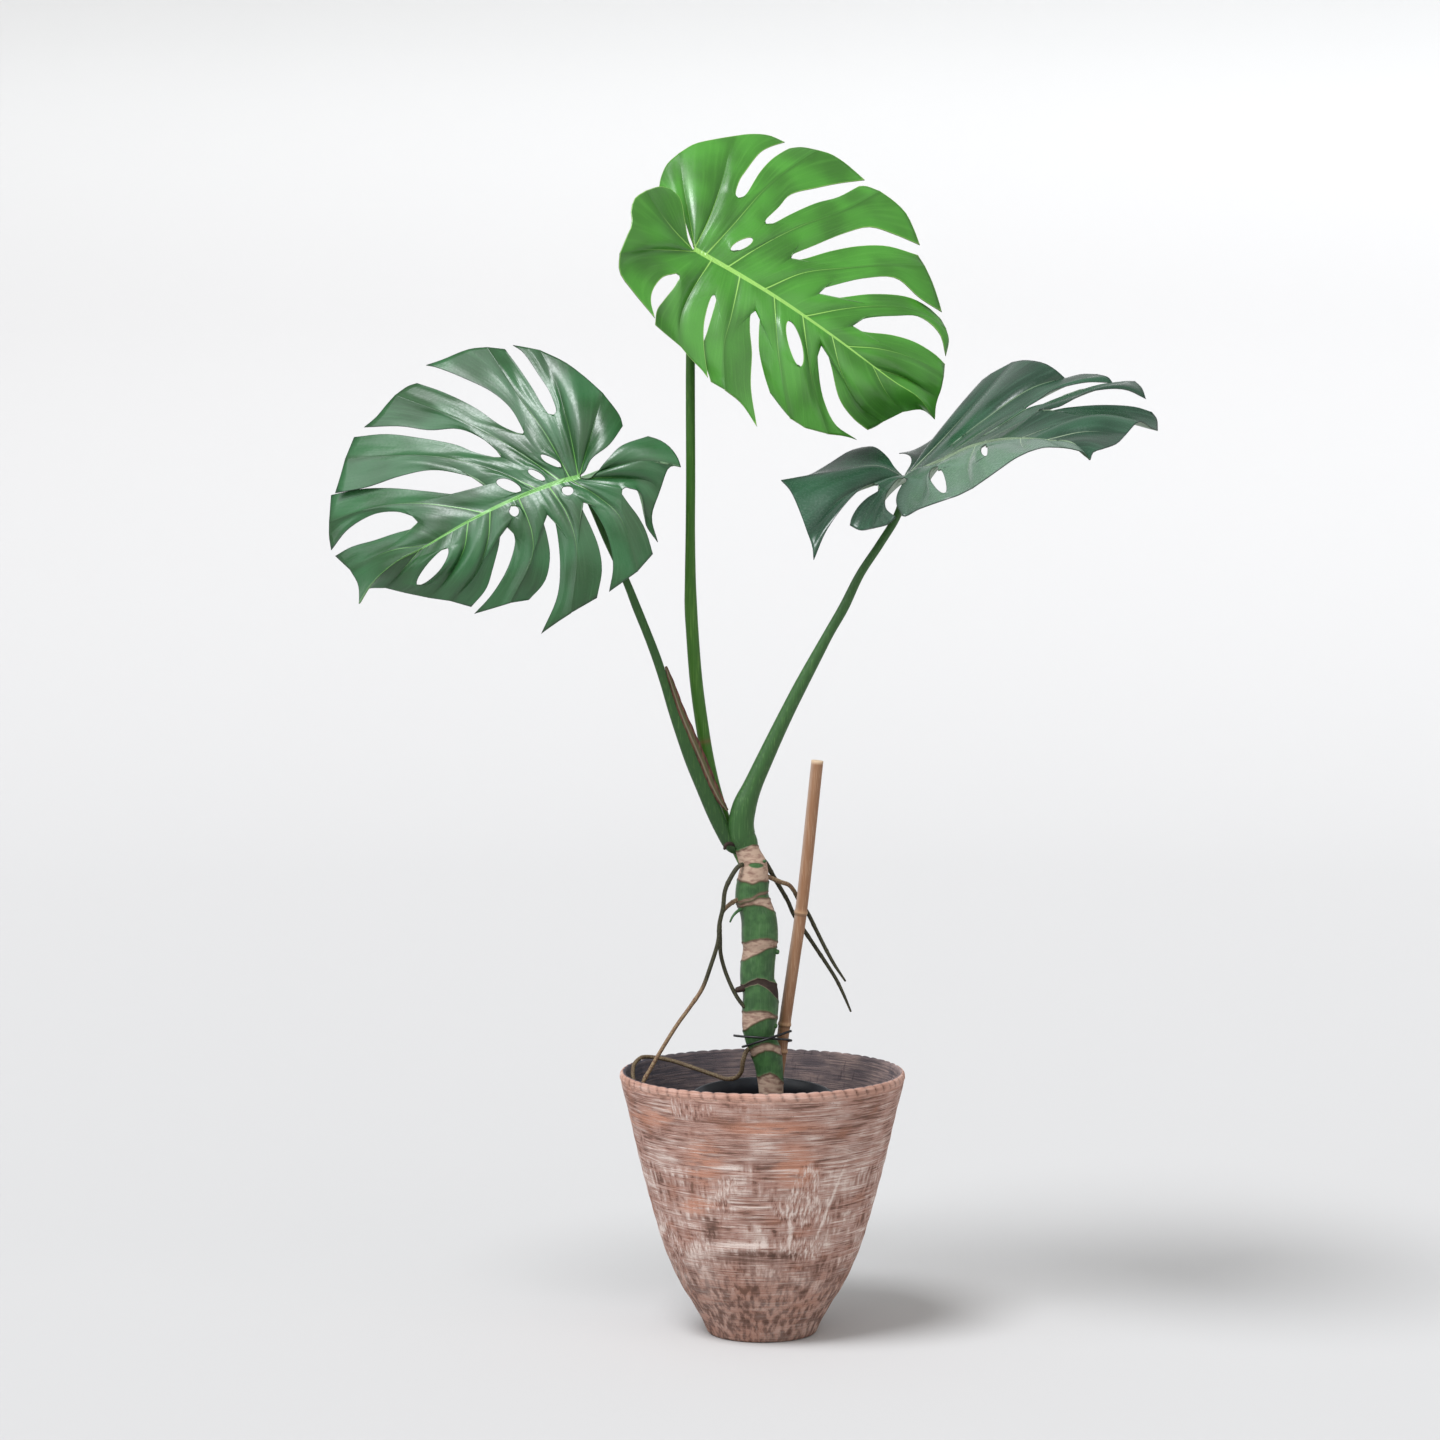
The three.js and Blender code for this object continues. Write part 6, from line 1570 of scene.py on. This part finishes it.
class MONSTERA_OT_stalks(Operator):
    """Add the three leaf stalks"""
    bl_idname = "monstera.stalks"
    bl_label = "Add Leaf Stalks"

    def execute(self, context):
        settings = context.scene.monstera_stalks
        # name, stations, greens low down, high up and of the fibres, and front-view
        # heights of the joints
        stalks = [
            ("left", PETIOLE_LEFT, tuple(settings.left_green), "#2f5526", "#4f7539", []),
            ("top", PETIOLE_TOP, tuple(settings.top_green), "#335e1e", "#648a3c", [741]),
            ("right", PETIOLE_RIGHT, tuple(settings.right_green), "#3b6033", "#5c844a", []),
        ]
        for name, stations, low, high, fibre, joints in stalks:
            stalk = stalk_object("stalk_" + name, stations, joints)
            skin = stalk_skin("leaf_stalk_" + name, low, paint(high), paint(fibre))
            dress(stalk, skin, "petiole_green", "petiole_" + name)
        return {"FINISHED"}


class MONSTERA_OT_sheath(Operator):
    """Add the dry leaf sheath"""
    bl_idname = "monstera.sheath"
    bl_label = "Add Dry Sheath"

    def execute(self, context):
        settings = context.scene.monstera_stalks
        paper = dry_sheath_paper(paint("#3a2019"), tuple(settings.sheath_brown))
        dress(sheath_object(), paper, "dry_sheath", "dry_husk")
        return {"FINISHED"}


class MONSTERA_OT_stem(Operator):
    """Add the stem and the stubs of its old roots"""
    bl_idname = "monstera.stem"
    bl_label = "Add Stem"

    def execute(self, context):
        settings = context.scene.monstera_stem
        skin = stem_skin(tuple(settings.green), tuple(settings.cork))
        dress(stem_object(), skin, "green_stem", "stem")
        for k, stations in enumerate(STEM_STUBS):
            body = sweep(stations, 10)
            rings = rings_about(body["centres"], body["heading"], body["radii"], 24)
            corky = np.full(rings.shape[:2], float(k in CORKY_STUBS))
            fields = {"scar": corky, "dark": corky, "lip": 0 * corky}
            stub = tube_object(f"stem_stub_{k + 1}", rings, fields)
            dress(stub, skin, "green_stem")
        return {"FINISHED"}


class MONSTERA_OT_cane(Operator):
    """Add the bamboo cane"""
    bl_idname = "monstera.cane"
    bl_label = "Add Cane"

    def execute(self, context):
        settings = context.scene.monstera_support
        cane = cane_object(settings.cane_radius / MM)
        dress(cane, bamboo(paint("#8d6445"), tuple(settings.cane_tan)), "cane", "stake")
        return {"FINISHED"}


class MONSTERA_OT_tie(Operator):
    """Add the wire that ties the stem to the cane"""
    bl_idname = "monstera.tie"
    bl_label = "Add Tie"

    def execute(self, context):
        settings = context.scene.monstera_support
        body = sweep([[*place, settings.wire_radius / MM] for place in TIE], 12)
        rings = rings_about(body["centres"], body["heading"], body["radii"], 16, reference=(0, 0, 1))
        wire = tube_object("wire_tie", rings)
        dress(wire, coated_wire(tuple(settings.wire_black)), "black_wire", "tie")
        return {"FINISHED"}


class MONSTERA_OT_roots(Operator):
    """Add the aerial roots"""
    bl_idname = "monstera.roots"
    bl_label = "Add Aerial Roots"

    def execute(self, context):
        settings = context.scene.monstera_stem
        skin = root_skin(tuple(settings.root_olive), tuple(settings.root_tan))
        rng = np.random.default_rng(5)
        for name, stations in ROOTS.items():
            root = root_object(name, stations, ROOT_TAN.get(name, NOT_TAN), rng)
            dress(root, skin, ROOT_SLOTS.get(name, "dark_root"), name)
        return {"FINISHED"}


class MONSTERA_OT_grow_pot(Operator):
    """Finish the grow pot and add its moulded rim"""
    bl_idname = "monstera.grow_pot"
    bl_label = "Add Grow Pot"

    def execute(self, context):
        plastic = moulded_plastic(tuple(context.scene.monstera_pots.plastic))
        cup = bpy.data.objects["grow_pot"]
        cup.data.materials.clear()
        cup.data.materials.append(plastic)
        dress(cup_rim_object(), plastic, "black_plastic")
        return {"FINISHED"}


class MONSTERA_OT_potting_mix(Operator):
    """Add the potting mix"""
    bl_idname = "monstera.potting_mix"
    bl_label = "Add Potting Mix"

    def execute(self, context):
        soil = potting_soil(paint("#2a1e17"), tuple(context.scene.monstera_pots.soil))
        dress(potting_mix_object(), soil, "potting_soil", "soil")
        return {"FINISHED"}


class MONSTERA_OT_outer_pot(Operator):
    """Add the terracotta pot"""
    bl_idname = "monstera.outer_pot"
    bl_label = "Add Outer Pot"

    def execute(self, context):
        settings = context.scene.monstera_pots
        clay = brushed_terracotta(tuple(settings.clay), tuple(settings.slip), tuple(settings.warm))
        dress(outer_pot_object(), clay, "terracotta", "outer_pot")
        return {"FINISHED"}


SETTINGS = {
    "monstera_stage": MonsteraStageSettings,
    "monstera_leaves": MonsteraLeafSettings,
    "monstera_stalks": MonsteraStalkSettings,
    "monstera_stem": MonsteraStemSettings,
    "monstera_support": MonsteraSupportSettings,
    "monstera_pots": MonsteraPotSettings,
}
OPERATORS = [MONSTERA_OT_stage, MONSTERA_OT_leaves, MONSTERA_OT_stalks, MONSTERA_OT_sheath,
             MONSTERA_OT_stem, MONSTERA_OT_cane, MONSTERA_OT_tie, MONSTERA_OT_roots,
             MONSTERA_OT_grow_pot, MONSTERA_OT_potting_mix, MONSTERA_OT_outer_pot]


class MONSTERA_PT_panel(Panel):
    """Lists the settings of the plant and the operators that add its pieces"""
    bl_idname = "MONSTERA_PT_panel"
    bl_label = "Potted Monstera"
    bl_space_type = "VIEW_3D"
    bl_region_type = "UI"
    bl_category = "Monstera"

    def draw(self, context):
        for key, group in SETTINGS.items():
            box = self.layout.box()
            box.label(text=group.__doc__)
            for name in group.__annotations__:
                box.prop(getattr(context.scene, key), name)
        for operator in OPERATORS:
            self.layout.operator(operator.bl_idname)


CLASSES = [*SETTINGS.values(), *OPERATORS, MONSTERA_PT_panel]


def register():
    """Registers the classes and puts the settings on the scene."""
    for cls in CLASSES:
        bpy.utils.register_class(cls)
    for key, group in SETTINGS.items():
        setattr(bpy.types.Scene, key, PointerProperty(type=group))


def unregister():
    """Takes the settings and the classes away again."""
    for key in SETTINGS:
        delattr(bpy.types.Scene, key)
    for cls in reversed(CLASSES):
        bpy.utils.unregister_class(cls)


def main():
    """Registers the classes and calls the operators in order."""
    register()
    bpy.ops.monstera.stage()
    bpy.ops.monstera.leaves()
    bpy.ops.monstera.stalks()
    bpy.ops.monstera.sheath()
    bpy.ops.monstera.stem()
    bpy.ops.monstera.cane()
    bpy.ops.monstera.tie()
    bpy.ops.monstera.roots()
    bpy.ops.monstera.grow_pot()
    bpy.ops.monstera.potting_mix()
    bpy.ops.monstera.outer_pot()


if __name__ == "__main__":
    main()
